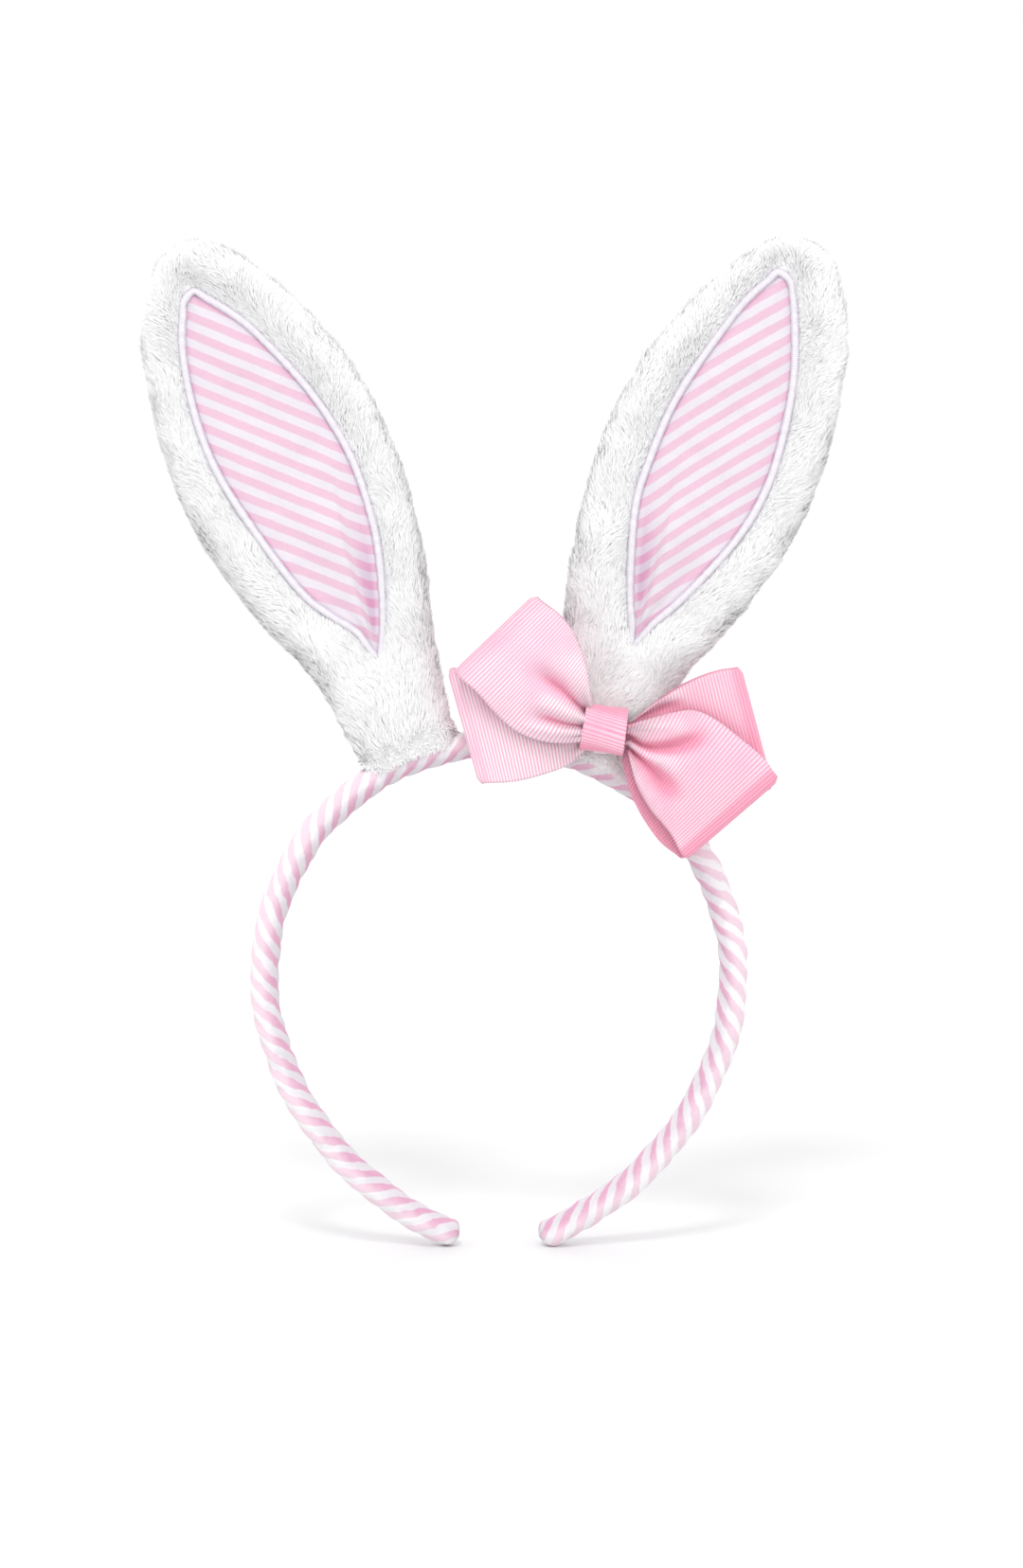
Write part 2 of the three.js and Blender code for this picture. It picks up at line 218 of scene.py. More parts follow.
def srgb(r, g, b, light=1.0):
    """A colour as it is seen under so much light, 0 to 255, for a shader socket."""
    return (*(min(0.98, ((c / 255 + 0.055) / 1.055) ** 2.4 / light) for c in (r, g, b)), 1)


class Finish:
    """A Principled material whose nodes are added one line at a time."""

    def __init__(self, name, **values):
        self.material = bpy.data.materials.new(name)
        self.material.use_nodes = True
        self.tree = self.material.node_tree
        self.shader = self.tree.nodes["Principled BSDF"]
        for key, value in values.items():
            self.shader.inputs[key.replace("_", " ")].default_value = value

    def node(self, kind, settings=None, **inputs):
        made = self.tree.nodes.new("ShaderNode" + kind)
        for key, value in (settings or {}).items():
            setattr(made, key, value)
        for key, value in inputs.items():
            self.put(value, made.inputs[key.replace("_", " ")])
        return made

    def put(self, value, place):
        if isinstance(value, bpy.types.NodeSocket):
            self.tree.links.new(value, place)
        else:
            place.default_value = value

    def marked(self, name):
        """The number that `mark` gave each point."""
        return self.node("Attribute", {"attribute_name": name}).outputs["Fac"]

    def maths(self, operation, *values):
        made = self.node("Math", {"operation": operation})
        for place, value in zip(made.inputs, values):
            self.put(value, place)
        return made.outputs[0]

    def noise(self, size_mm, detail=3.0):
        where = self.node("TexCoord").outputs["Object"]
        made = self.node("TexNoise", Vector=where, Scale=1000 / size_mm, Detail=detail, Roughness=0.55)
        return made.outputs["Fac"]

    def ramp(self, value, low, high, to_low=0.0, to_high=1.0):
        """As `smooth`, from one number to another."""
        made = self.node(
            "MapRange", {"interpolation_type": "SMOOTHSTEP"},
            Value=value, From_Min=low, From_Max=high, To_Min=to_low, To_Max=to_high,
        )
        return made.outputs[0]

    def mix(self, share, a, b):
        made = self.node("Mix", {"data_type": "RGBA"}, Factor=share)
        self.put(a, made.inputs[6])
        self.put(b, made.inputs[7])
        return made.outputs[2]

    def cloth_place(self):
        """The two coordinates of the piece's own cloth, in millimetres."""
        both = self.node("SeparateXYZ", Vector=self.node("UVMap", {"uv_map": "cloth"}).outputs[0])
        return both.outputs[0], both.outputs[1]

    def stripes(self, place, period, edge=0.08):
        """0 and 1 in equal stripes."""
        part = self.maths("FRACT", self.maths("DIVIDE", place, period))
        away = self.maths("ABSOLUTE", self.maths("SUBTRACT", part, 0.5))
        return self.ramp(away, 0.25 - edge / 2, 0.25 + edge / 2)

    def weave(self, u, v, pitch):
        """The over and under of a plain weave."""
        over = self.maths("SINE", self.maths("MULTIPLY", u, TURN / pitch))
        under = self.maths("SINE", self.maths("MULTIPLY", v, TURN / pitch))
        return self.maths("MULTIPLY", over, under)

    def colour(self, value):
        self.put(value, self.shader.inputs["Base Color"])

    def rough(self, value):
        self.put(value, self.shader.inputs["Roughness"])

    def bump(self, height, depth_mm):
        made = self.node("Bump", Height=height, Distance=depth_mm * MM, Strength=1.0)
        self.put(made.outputs[0], self.shader.inputs["Normal"])


def plush_finish(name):
    """White with a faint tone, greyer towards the ear's edge as painted shade, where the rim turns away from
    the light.
    """
    f = Finish(name, Roughness=0.95)
    patches = f.ramp(f.noise(9, detail=2.0), 0.35, 0.65)
    fine = f.ramp(f.noise(1.2, detail=2.0), 0.3, 0.7)
    tone = f.maths("MULTIPLY_ADD", patches, 0.65, f.maths("MULTIPLY", fine, 0.35))
    white = f.mix(tone, srgb(247, 247, 247), srgb(252, 252, 252))
    # Painted shade: greyer towards the ear's edge, where the rim turns from the light.
    f.colour(f.mix(f.marked("painted_rim_shade"), white, srgb(233, 233, 234)))
    return f.material


def cotton(f, cloth, stripe, fibre, in_shade, pinks, whites, roughness, pitch):
    """A striped plain weave. Each colour is two tones for the fibre's grain, and a darker one that paints
    shade where the shade mask is high.
    """
    pink, white = (f.mix(in_shade, f.mix(fibre, one, other), shaded_tone) for one, other, shaded_tone in (pinks, whites))
    f.colour(f.mix(stripe, pink, white))
    f.rough(f.ramp(fibre, 0.2, 0.8, *roughness))
    f.bump(f.maths("MULTIPLY_ADD", fibre, 0.8, f.weave(*cloth, pitch)), 0.05)
    return f.material


def striped_cotton_finish():
    """The leaves' stripes, darker with painted shade in the creases and along the stitching."""
    f = Finish("striped_cotton", Roughness=0.85, Sheen_Weight=0.15)
    cloth = f.cloth_place()
    stripe = f.stripes(f.maths("MULTIPLY_ADD", f.noise(7), 0.5, cloth[1]), LEAF_STRIPES)
    # The third tone of each colour is painted shade, laid where the panel marks it: its creases and
    # stitching.
    pinks = srgb(246, 198, 222, 1.22), srgb(250, 215, 232, 1.22), srgb(231, 166, 202, 1.22)
    whites = srgb(244, 235, 245, 1.22), srgb(250, 244, 250, 1.22), srgb(228, 208, 228, 1.22)
    in_shade = f.ramp(f.marked("painted_shade"), 0, 1)
    return cotton(f, cloth, stripe, f.noise(0.9, detail=4.0), in_shade, pinks, whites, (0.78, 0.92), 0.36)


def wound_cotton_finish():
    """The band's stripes, with painted shade on the side that faces the head, inside the hoop."""
    f = Finish("wound_cotton", Roughness=0.8, Sheen_Weight=0.2)
    cloth = f.cloth_place()
    stripe = f.stripes(f.maths("MULTIPLY_ADD", f.noise(5), 3.4, cloth[1]), STRIPE, 0.12)
    # Painted shade: darker towards the hoop's inside, with noise in where it starts.
    outwards = f.maths("COSINE", f.maths("DIVIDE", cloth[0], ROUND_BAND))
    in_shade = f.ramp(f.maths("MULTIPLY_ADD", f.noise(4), 0.9, outwards), 0.75, -0.35)
    pinks = srgb(248, 215, 230, 1.15), srgb(253, 229, 240, 1.15), srgb(233, 172, 203, 1.2)
    whites = srgb(248, 246, 249, 1.1), srgb(255, 253, 255, 1.1), srgb(236, 230, 236, 1.2)
    return cotton(f, cloth, stripe, f.noise(0.8, detail=4.0), in_shade, pinks, whites, (0.72, 0.88), 0.4)


def satin_thread_finish():
    """A light ridge of stitches with shaded sides."""
    f = Finish("satin_thread", Roughness=0.45, Sheen_Weight=0.3)
    along, across = f.cloth_place()
    fibre = f.noise(0.5, detail=3.0)
    lit = f.mix(fibre, srgb(247, 242, 250, 1.2), srgb(255, 252, 255, 1.2))
    shaded = f.mix(fibre, srgb(228, 219, 235, 1.2), srgb(238, 230, 243, 1.2))
    f.colour(f.mix(f.ramp(f.maths("ABSOLUTE", f.maths("COSINE", across)), 0.35, 0.85), lit, shaded))
    f.rough(f.ramp(fibre, 0.2, 0.8, 0.4, 0.6))
    f.bump(f.maths("SINE", f.maths("MULTIPLY", along, TURN / 0.24)), 0.03)
    return f.material


def grosgrain_finish():
    """Ribs lighter with a painted sheen, a darker pink between them, painted shade darker still in the bow's
    creases and folds, and a painted highlight on its swells.
    """
    f = Finish("grosgrain", Roughness=0.45, Sheen_Weight=0.2, Sheen_Roughness=0.4)
    along, across = f.cloth_place()
    rib = f.ramp(f.maths("COSINE", f.maths("MULTIPLY", along, TURN / RIB)), -0.7, 0.8)
    tone = f.ramp(f.noise(12, detail=1.0), 0.35, 0.65)
    painted_shade = f.marked("painted_shade")
    # The ribs' lighter tops are a painted sheen.
    ridge = f.mix(tone, srgb(253, 213, 229, 1.15), srgb(255, 240, 246, 1.15))
    furrow = f.mix(tone, srgb(251, 188, 213, 1.15), srgb(250, 182, 208, 1.15))
    # A painted highlight for the swells, and painted shade in a saturated pink for the creases and folds.
    painted_highlight = f.mix(rib, srgb(251, 190, 212, 1.15), srgb(255, 250, 252, 1.1))
    in_shade = f.mix(rib, srgb(248, 150, 180, 1.15), srgb(252, 178, 202, 1.15))
    lit = f.mix(f.ramp(painted_shade, -0.1, -0.8), f.mix(rib, furrow, ridge), painted_highlight)
    f.colour(f.mix(f.ramp(painted_shade, 0.0, 0.85), lit, in_shade))
    f.rough(f.ramp(f.noise(1.5), 0.3, 0.7, 0.38, 0.55))
    f.bump(f.maths("SINE", f.maths("MULTIPLY", across, TURN / 0.3)), 0.03)
    return f.material


def plain_finish(name, one, other, size_mm, depth_mm, roughness, metallic=0.0):
    """For what lies inside: two close tones and a grain."""
    f = Finish(name, Roughness=roughness, Metallic=metallic)
    grain = f.noise(size_mm, detail=4.0)
    f.colour(f.mix(grain, srgb(*one), srgb(*other)))
    f.rough(f.ramp(grain, 0.3, 0.7, roughness - 0.06, min(1.0, roughness + 0.06)))
    f.bump(grain, depth_mm)
    return f.material


RIB = 0.9  # pitch of the grosgrain's ribs
STRIPE = 6.0  # of the wound cotton, along the band
LEAF_STRIPES = 4.2
ROUND_BAND = 4.0  # the wound cotton's width for each radian round the band

PLUSH = plush_finish("plush_pile")
BACKING = plush_finish("plush_backing")
STRIPED_COTTON = striped_cotton_finish()
WOUND_COTTON = wound_cotton_finish()
SATIN_THREAD = satin_thread_finish()
GROSGRAIN = grosgrain_finish()
INNER_FINISHES = {
    "band_core": plain_finish("white_plastic", (236, 233, 227), (228, 225, 219), 2, 0.02, 0.45),
    "band_padding": plain_finish("wadding", (247, 243, 237), (238, 233, 226), 0.7, 0.25, 0.93),
    "ear_lining": plain_finish("fleece", (249, 249, 247), (238, 238, 236), 0.9, 0.3, 0.93),
    "ear_wire": plain_finish("steel_wire", (196, 198, 201), (180, 182, 186), 1, 0.01, 0.32, 1.0),
    "ear_tab": plain_finish("white_felt", (248, 246, 246), (236, 232, 233), 0.6, 0.15, 0.93),
    "bow_thread": plain_finish("pink_thread", (240, 150, 182), (226, 128, 164), 0.3, 0.1, 0.7),
    "bow_glue": plain_finish("hot_glue", (246, 232, 239), (240, 222, 232), 2, 0.05, 0.4),
}


def finished(piece, material, body=None, replaces=()):
    """Gives a piece its material, the body it rides on and the CAD nodes it stands for."""
    piece.data.materials.append(material)
    if body:
        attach(piece, body)
    if replaces:
        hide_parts(*replaces)
    return piece


# ---- band ----

STRIPES_PER_TURN = 4


def band_frame(s):
    """Centre points and outward directions of the band at distances along it from the top."""
    along = np.abs(s)
    leg = along > CROWN_LENGTH
    angle = np.where(leg, CROWN_ARC + (along - CROWN_LENGTH) / LEG_RADIUS, along / CROWN_RADIUS)
    radius = np.where(leg, LEG_RADIUS, CROWN_RADIUS)
    side = np.where(s < 0, -1, 1)
    out = vectors(side * np.sin(angle), 0, np.cos(angle))
    shift = (CROWN_RADIUS - radius)[:, None]
    joint = vectors(side * math.sin(CROWN_ARC), 0, math.cos(CROWN_ARC))
    return np.array([0, 0, CROWN_CENTRE_Z]) + shift * joint + radius[:, None] * out, out


def band_skin(name, start, end):
    """The wound cotton from one distance along the band to another. Past a tip it closes as a dome."""
    dome = BAND_HALF[1]
    s = np.linspace(start, end, int(abs(end - start) / 0.45))
    over = np.clip((np.abs(s) - BAND_END) / dome, 0, 1)
    shrink = np.sqrt(np.maximum(1 - over**2, 0))[:, None]
    turn = np.linspace(0, TURN, 44, endpoint=False)
    centre, out = band_frame(s)
    place = s[:, None] / STRIPE + STRIPES_PER_TURN * turn / TURN
    lap = (place / STRIPES_PER_TURN) % 1
    flat = vectors(s[:, None], ROUND_BAND * turn, 3 * place)
    ridge = 0.42 * np.abs(np.cos(0.5 * TURN * place)) + 0.35 * (smooth(lap, 0, 0.85) - smooth(lap, 0.94, 1))
    crease = 0.13 * waves(flat.reshape(-1, 3) * (0.22, 0.22, 1), 1.2, 5).reshape(place.shape)
    tuck = 0.3 * smooth(over, 0.1, 0.8)[:, None] * np.cos(7 * turn + 1)
    rise = (ridge + crease) * smooth(1 - over, 0, 0.5)[:, None] + tuck - 0.32
    radial = (BAND_HALF[1] + rise) * np.cos(turn) * shrink
    forward = (BAND_HALF[0] + rise) * np.sin(turn) * shrink
    points = centre[:, None] + radial[..., None] * out[:, None] + forward[..., None] * np.array([0, -1, 0])
    uv = vectors(ROUND_BAND * turn, STRIPE * place)
    # The cloth's second coordinate jumps by a whole number of stripes where a turn closes.
    points = np.concatenate([points, points[:, :1]], axis=1)
    closing = uv[:, :1] + np.array([ROUND_BAND * TURN, STRIPE * STRIPES_PER_TURN])
    uv = np.concatenate([uv, closing], axis=1)
    return sealed(mesh_piece(name, points, grid_faces(*points.shape[:2]), uv=uv), 0.001)


def band():
    """A skin for each side of the band, whose curve changes at its shoulder."""
    dome = BAND_HALF[1]
    split = CROWN_RADIUS * math.radians(26)  # behind the bow's knot
    reach = {"left": (-BAND_END - dome, split), "right": (split, BAND_END + dome)}
    for name, side in SIDES.items():
        piece = band_skin("band_wrap_" + name, *reach[name])
        leg = "leg_" + name
        nodes = ("wrap_crown", "wrap_" + leg, "wrap_end_" + name)
        finished(piece, WOUND_COTTON, replaces=nodes)
        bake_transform(piece)


# ---- ears ----

# Outlines in an ear's own plane: x towards the hoop's middle, and the height above the band.
EAR_OUTLINE = [
    (-12.9, -3.8), (-12.1, 6), (-14.1, 24), (-21.8, 48), (-26.7, 74), (-25.2, 100), (-18.9, 124),
    (-8.4, 139.8), (0.4, 143.2), (9.2, 140), (20.3, 123.3), (29, 98), (30.6, 72), (27.4, 48),
    (20.8, 24), (16.8, 8), (16.4, -3.8),
]
LEANS_OUT = {"left": 0.8, "right": -1.4}  # how much further out than the outline an ear's tip is
# Each striped panel, as its outer and its inner side, from the foot to the tip.
PANELS = {
    "left": (
        [(4.3, 25.4), (2.7, 33.1), (-1.9, 40), (-6.4, 48.5), (-11.3, 68.2), (-14, 86.2), (-13.1, 102.2),
         (-9.3, 118), (-3.1, 130.5)],
        [(4.3, 25.4), (7.2, 30.4), (11.5, 40.8), (16, 56.5), (17.7, 75.6), (14.8, 94.3), (8.1, 113.5),
         (2.8, 122.8), (-3.1, 130.5)],
    ),
    "right": (
        [(2.4, 29.5), (0.8, 35.8), (-2.9, 43.6), (-7.1, 54.3), (-10.6, 65.4), (-12.2, 76.4), (-11.7, 88.7),
         (-7.6, 108), (-0.2, 125.2), (4.8, 132.6)],
        [(2.4, 29.5), (3.6, 33.3), (8.4, 43.2), (15, 61.6), (16.7, 75), (16.5, 93), (12.1, 115.3),
         (8.9, 124.9), (4.8, 132.6)],
    ),
}
PANEL_MIDDLE = 79  # height
# A panel's stripes: their lean in degrees, how they fan out from the panel's middle, how much closer than the
# cloth's own they lie, and where they start.
PANEL_STRIPES = {"left": (-45.5, 0, 1.0, 2.1), "right": (-55, 0.0022, 1.06, 0)}
PILE_ROOM = 1.5  # from the plush's backing out to the ear's outline
RIM_HEIGHT = 5.0  # of the stuffed rim, in front of the ear's middle
BACK_HEIGHT = 4.6
STUFFING_FRAMES = 16
MOST_SWELL = 0.9
EASING_ROUNDS = 8
BORDER_OFFSET = 0.9  # from the panel's edge to the middle of the satin stitching
BORDER_HALF = (1.12, 0.95)  # the stitching's half width and half height
WIRE_INSET, WIRE_RADIUS = 4.2, 0.5
FIBRES = 66000  # at most, on each of an ear's two sides
FIBRE_LENGTH, FIBRE_SPREAD = 3.0, 0.35
FOOT_POINTS = 20  # of an ear's outline, along the band


def to_part(local, side):
    """Ear-plane points (x, depth, height) in the part's frame."""
    lean = side * EAR_LEAN
    x, y, z = -side * local[..., 0], local[..., 1], local[..., 2]
    foot = EAR_ORIGIN_RADIUS * np.array([math.sin(lean), 0, math.cos(lean)])
    across, up = turned(x, z, lean)
    return vectors(across, y, up) + foot + np.array([0, 0, CROWN_CENTRE_Z])


def to_plane(points, side):
    """The ear-plane x, depth and height of points in the part's frame."""
    lean = side * EAR_LEAN
    foot = EAR_ORIGIN_RADIUS * np.array([math.sin(lean), 0, math.cos(lean)])
    p = points - (foot + np.array([0, 0, CROWN_CENTRE_Z]))
    x, z = turned(p[:, 0], p[:, 2], -lean)
    return vectors(-side * x, p[:, 1], z)


def to_part_way(way, side):
    """A direction in the ear's plane as one in the part's frame."""
    return to_part(np.array(way), side) - to_part(np.zeros(3), side)


def signed_distance(points, outline):
    """How far 2-D points lie outside a closed outline; below zero inside it."""
    a, b = outline, np.roll(outline, -1, axis=0)
    edge = b - a
    away = np.full(len(points), 1e9)
    inside = np.zeros(len(points), bool)
    for p, e, q in zip(a, edge, b):
        share = np.clip((points - p) @ e / max(e @ e, 1e-12), 0, 1)[:, None]
        away = np.minimum(away, np.linalg.norm(points - p - share * e, axis=1))
        crosses = (p[1] > points[:, 1]) != (q[1] > points[:, 1])
        if abs(e[1]) > 1e-12:
            inside ^= crosses & (points[:, 0] < p[0] + (points[:, 1] - p[1]) * e[0] / e[1])
    return np.where(inside, -away, away)


def offset_outline(outline, outwards):
    """A closed, clockwise outline moved outwards."""
    ahead = unit(np.roll(outline, -1, axis=0) - np.roll(outline, 1, axis=0))
    return outline + outwards * np.column_stack([-ahead[:, 1], ahead[:, 0]])


def panel_sides(name, count):
    """A panel's outer and inner side as evenly spaced points."""
    return [smooth_path(points, count) for points in PANELS[name]]


def panel_outline(name):
    """A panel's edge, closed and clockwise."""
    outer, inner = panel_sides(name, 90)
    return np.vstack([outer, inner[::-1][1:-1]])


def border_line(name):
    """The middle line of the stitching round a panel."""
    return offset_outline(panel_outline(name), BORDER_OFFSET)


def panel_depth(name, height):
    """How far in front of the ear's middle the panel lies: less towards its foot."""
    foot = PANELS[name][0][0][1]
    return 3.1 - 1.2 * smooth(height, foot + 34, foot)


def ear_outline(name):
    """An ear's edge, closed and clockwise. Its last points are its foot, over the band."""
    top = smooth_path(EAR_OUTLINE, 200)
    share = np.linspace(0, 1, FOOT_POINTS + 2)[1:-1]
    foot = np.linspace(top[-1], top[0], FOOT_POINTS + 2)[1:-1]
    foot[:, 1] += 1.3 * np.sin(math.pi * share)  # over the band's curve
    outline = np.vstack([top, foot])
    outline[:, 0] -= LEANS_OUT[name] * np.maximum(outline[:, 1], 0) / 140  # the tip's height
    return outline


def rounded(inside, radius):
    """The rise of a rounded edge, from 0 at the edge to 1 at `radius` inside it."""
    return np.sqrt(1 - (1 - np.clip(inside / radius, 0, 1)) ** 2)


def ear_depths(name, plane):
    """How far the plush's backing stands out in front of the ear's middle, and behind it."""
    skin = backing_outline(name)
    skin[:, 1] -= 12 * smooth(skin[:, 1], 2, -1)  # it is as thick at its foot, where it sits over the band
    inside = np.maximum(-signed_distance(plane, skin), 0)
    leaf = signed_distance(plane, border_line(name))
    outside_leaf = np.maximum(leaf, 0)
    foot = PANELS[name][0][0]
    floor = panel_depth(name, plane[:, 1]) * rounded(inside, 5)
    width = inside + outside_leaf
    share = inside / np.maximum(width, 1e-6)
    height = RIM_HEIGHT * smooth(width, 0, 12) ** 0.5
    rim = height * np.sin(math.pi * np.clip(share, 0, 1) ** 0.8) ** 0.55
    below = plane[:, 1] < foot[1]
    plateau = height * rounded(inside, 6.5)
    wide = smooth(foot[1] + 8 - plane[:, 1], 0, 16)
    rim = rim * (1 - wide) + plateau * wide
    front = np.where(leaf > 0, np.maximum(rim, floor), floor - 1.6 * smooth(-leaf, 0.3, 2))
    crease_end = np.array([foot[0] + 2.2, 9.0])
    crease = np.array(foot) - crease_end
    up = np.clip((plane - crease_end) @ crease / (crease @ crease), 0, 1)
    off = np.linalg.norm(plane - crease_end - up[:, None] * crease, axis=1)
    front = front - np.where(below | (leaf > 0), 1.1 * up * np.exp(-((off / 3.0) ** 2)), 0)
    back = BACK_HEIGHT * rounded(inside, 8.5)
    solid = vectors(plane[:, 0], 0, plane[:, 1])
    lumps = smooth(inside, 0, 6)
    front = front + 0.35 * lumps * waves(solid, 9, 11) * (leaf > 1)
    back = back + 0.45 * lumps * waves(solid, 12, 12)
    return front, back


def backing_outline(name):
    """The edge of the plush's backing, under its pile."""
    outline = ear_outline(name)
    return offset_outline(even_points(np.vstack([outline, outline[:1]]), 220, False), -PILE_ROOM)


def inside_edge(name, inset):
    """The ear's edge from its outer foot over the tip to its inner foot, moved in."""
    path = ear_outline(name)[:-FOOT_POINTS]
    ahead = unit(np.gradient(path, axis=0))
    return path + inset * np.column_stack([ahead[:, 1], -ahead[:, 0]])


def plush_backing(name, side):
    """The stuffed ear under its pile: rings up the ear, sunk where the leaf lies, with a saddle at the foot.
    """
    rows, columns = 66, 24
    path = inside_edge(name, PILE_ROOM)
    tip = path[:, 1].argmax()
    outer, inner = even_points(path[: tip + 1], rows), even_points(path[tip:][::-1], rows)
    share = (1 - np.cos(math.pi * np.arange(2 * columns) / columns)) / 2
    plane = outer[:, None] + share[:, None] * (inner - outer)[:, None]
    low = smooth(np.linspace(0, 1, rows), 0.14, 0)[:, None]
    plane[..., 1] += low * (1.4 * np.sin(math.pi * share) - 0.9)
    front, back = (depth.reshape(rows, -1) for depth in ear_depths(name, plane.reshape(-1, 2)))
    depth = np.where(np.arange(2 * columns) <= columns, -front, back)
    rings = vectors(plane[..., 0], depth, plane[..., 1])
    saddle = []
    for part in (0, 0.4, 0.75):
        ring = rings[0] * (1, part, 1)
        ring[:, 2] += 2.4 * (1 - part * part) * np.sin(math.pi * share) ** 0.5
        saddle.append(ring)
    rings = np.concatenate([np.array(saddle), rings])
    faces = grid_faces(*rings.shape[:2], False, True)
    piece = sealed(mesh_piece(f"ear_{name}_plush_backing", to_part(rings, side), faces), 0.05)
    stuff(piece, name, side)
    finer = piece.modifiers.new("finer", "SUBSURF")
    finer.levels = 1
    smoother = bpy.data.meshes.new_from_object(evaluated(piece))
    piece.modifiers.remove(finer)
    piece.data = smoother
    return piece


def evaluated(piece):
    """The piece as its modifiers leave it."""
    return piece.evaluated_get(bpy.context.evaluated_depsgraph_get())


def of_vertices(mesh, what):
    """The places ("co") or the normals ("normal") of a mesh's vertices."""
    values = np.empty(3 * len(mesh.vertices), np.float32)
    mesh.vertices.foreach_get(what, values)
    return values.reshape(-1, 3)


def coordinates(mesh):
    return of_vertices(mesh, "co").astype(float)


def eased(mesh, moved):
    """Each vertex's movement, drawn towards its neighbours' so that no fine wrinkle stays."""
    ends = np.empty(2 * len(mesh.edges), np.int32)
    mesh.edges.foreach_get("vertices", ends)
    a, b = ends.reshape(-1, 2).T
    neighbours = np.bincount(ends, minlength=len(moved))[:, None]
    for _ in range(EASING_ROUNDS):
        total = np.zeros_like(moved)
        np.add.at(total, a, moved[b])
        np.add.at(total, b, moved[a])
        moved = 0.4 * moved + 0.6 * total / neighbours
    return moved


def stuff(piece, name, side):
    """Fills the ear: a cloth simulation under pressure, held where the panel and the band are sewn to it."""
    before = coordinates(piece.data)
    local = to_plane(before / MM, side)
    leaf = signed_distance(local[:, [0, 2]], border_line(name))
    free = np.where(local[:, 1] < 0, smooth(leaf, 1.5, 6), 1) * smooth(local[:, 2], 1, 7)
    held = piece.vertex_groups.new(name="held")
    for index, share in enumerate(free):
        held.add([index], 1 - share, "REPLACE")
    cloth = piece.modifiers.new("cloth", "CLOTH")
    settings = cloth.settings
    settings.quality, settings.mass, settings.time_scale = 6, 0.2, 0.7
    settings.tension_stiffness, settings.compression_stiffness, settings.shear_stiffness = 12, 6, 4
    settings.bending_stiffness = 0.3
    settings.use_pressure, settings.uniform_pressure_force = True, 4
    settings.shrink_min = settings.shrink_max = -0.02  # a little more cloth than the stuffing fills
    settings.vertex_group_mass = "held"
    settings.effector_weights.gravity = 0
    cloth.point_cache.frame_start, cloth.point_cache.frame_end = 1, STUFFING_FRAMES
    for moment in range(1, STUFFING_FRAMES + 1):
        bpy.context.scene.frame_set(moment)
    after = coordinates(evaluated(piece).data)
    piece.modifiers.remove(cloth)
    piece.vertex_groups.remove(held)
    bpy.context.scene.frame_set(1)
    moved = (after - before) * (0.3, 1, 0.3)  # the seams round the edge hold it in
    far = np.linalg.norm(moved, axis=1, keepdims=True)
    moved = eased(piece.data, moved * np.minimum(1, MOST_SWELL * MM / np.maximum(far, 1e-9)))
    piece.data.vertices.foreach_set("co", (before + moved).astype(np.float32).ravel())


def ear(name, side):
    """One ear, from its stuffing out to its pile."""
    body = "ear_" + name
    backing = plush_backing(name, side)
    finished(backing, BACKING, replaces=(body + "_fur_front", body + "_fur_back"))
    striped_panel(name, side)
    satin_border(name, side)
    seam_wire(name, side)
    for sewn in (*pile(name, side, backing), backing):
        bend_at_foot(sewn)


def bend_at_foot(piece):
    """The plush is sewn to the band at its foot. This only bakes the piece's placement into its points."""
    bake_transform(piece)


def striped_panel(name, side):
    """The leaf of striped cotton, drawn into creases at its foot."""
    rows, columns = 150, 40
    outer, inner = (p[:, None] for p in panel_sides(name, rows))
    share = np.linspace(0, 1, columns)[None, :, None]
    plane = outer + share * (inner - outer)
    flat = plane.reshape(-1, 2)
    outline = panel_outline(name)
    inside = np.maximum(-signed_distance(flat, outline), 0)
    foot = np.array(PANELS[name][0][0])
    away = flat - foot
    reach = np.linalg.norm(away, axis=1)
    angle = np.arctan2(away[:, 0], away[:, 1])  # from straight up, towards the hoop's middle
    fan = smooth(reach, 62, 8) * smooth(reach, 0, 6) * smooth(inside, 0, 2.5)
    fold = angle - (0.10 + 0.0015 * reach)
    rise = -0.9 * fan * np.tanh(fold * reach / 0.9) * np.exp(-np.abs(fold) * 2.5)
    rise += 0.55 * fan * np.sin(9.5 * angle * (1 + 0.004 * reach) + 1.0)
    # Painted shade along the panel's edge, under the stitching, and in the creases at its foot.
    painted_shade = 0.75 * np.exp(-inside / 0.9) + 0.9 * smooth(-rise, 0, 0.9) * smooth(reach, 55, 10)
    solid = vectors(flat[:, 0], 0, flat[:, 1])
    lumps = 0.28 * smooth(inside, 0, 4) * waves(solid, 8, 21)
    rise += lumps + 0.07 * smooth(inside, 0, 1.5) * waves(solid, 2.5, 22)
    depth = panel_depth(name, flat[:, 1]) + 0.45 + 0.5 * smooth(inside, 0, 5) + rise
    middle = vectors(flat[:, 0], -depth, flat[:, 1]).reshape(rows, columns, 3)
    lean, splay, close, start = PANEL_STRIPES[name]
    lean = math.radians(lean)
    along = flat[:, 0] * math.cos(lean) + flat[:, 1] * math.sin(lean)
    across = flat[:, 1] * math.cos(lean) - flat[:, 0] * (math.sin(lean) + splay * (flat[:, 1] - PANEL_MIDDLE))
    across = start + close * across + 0.8 * fan * np.tanh(fold * reach / 0.6)
    uv = np.column_stack([along, across]).reshape(rows, columns, 2)
    painted_shade = np.clip(painted_shade, 0, 1).reshape(rows, columns)
    piece = thick_sheet(f"ear_{name}_striped_panel", to_part(middle, side), 0.15, uv, painted_shade)
    body = "ear_" + name
    finished(piece, STRIPED_COTTON, body, (body + "_inner_panel",))


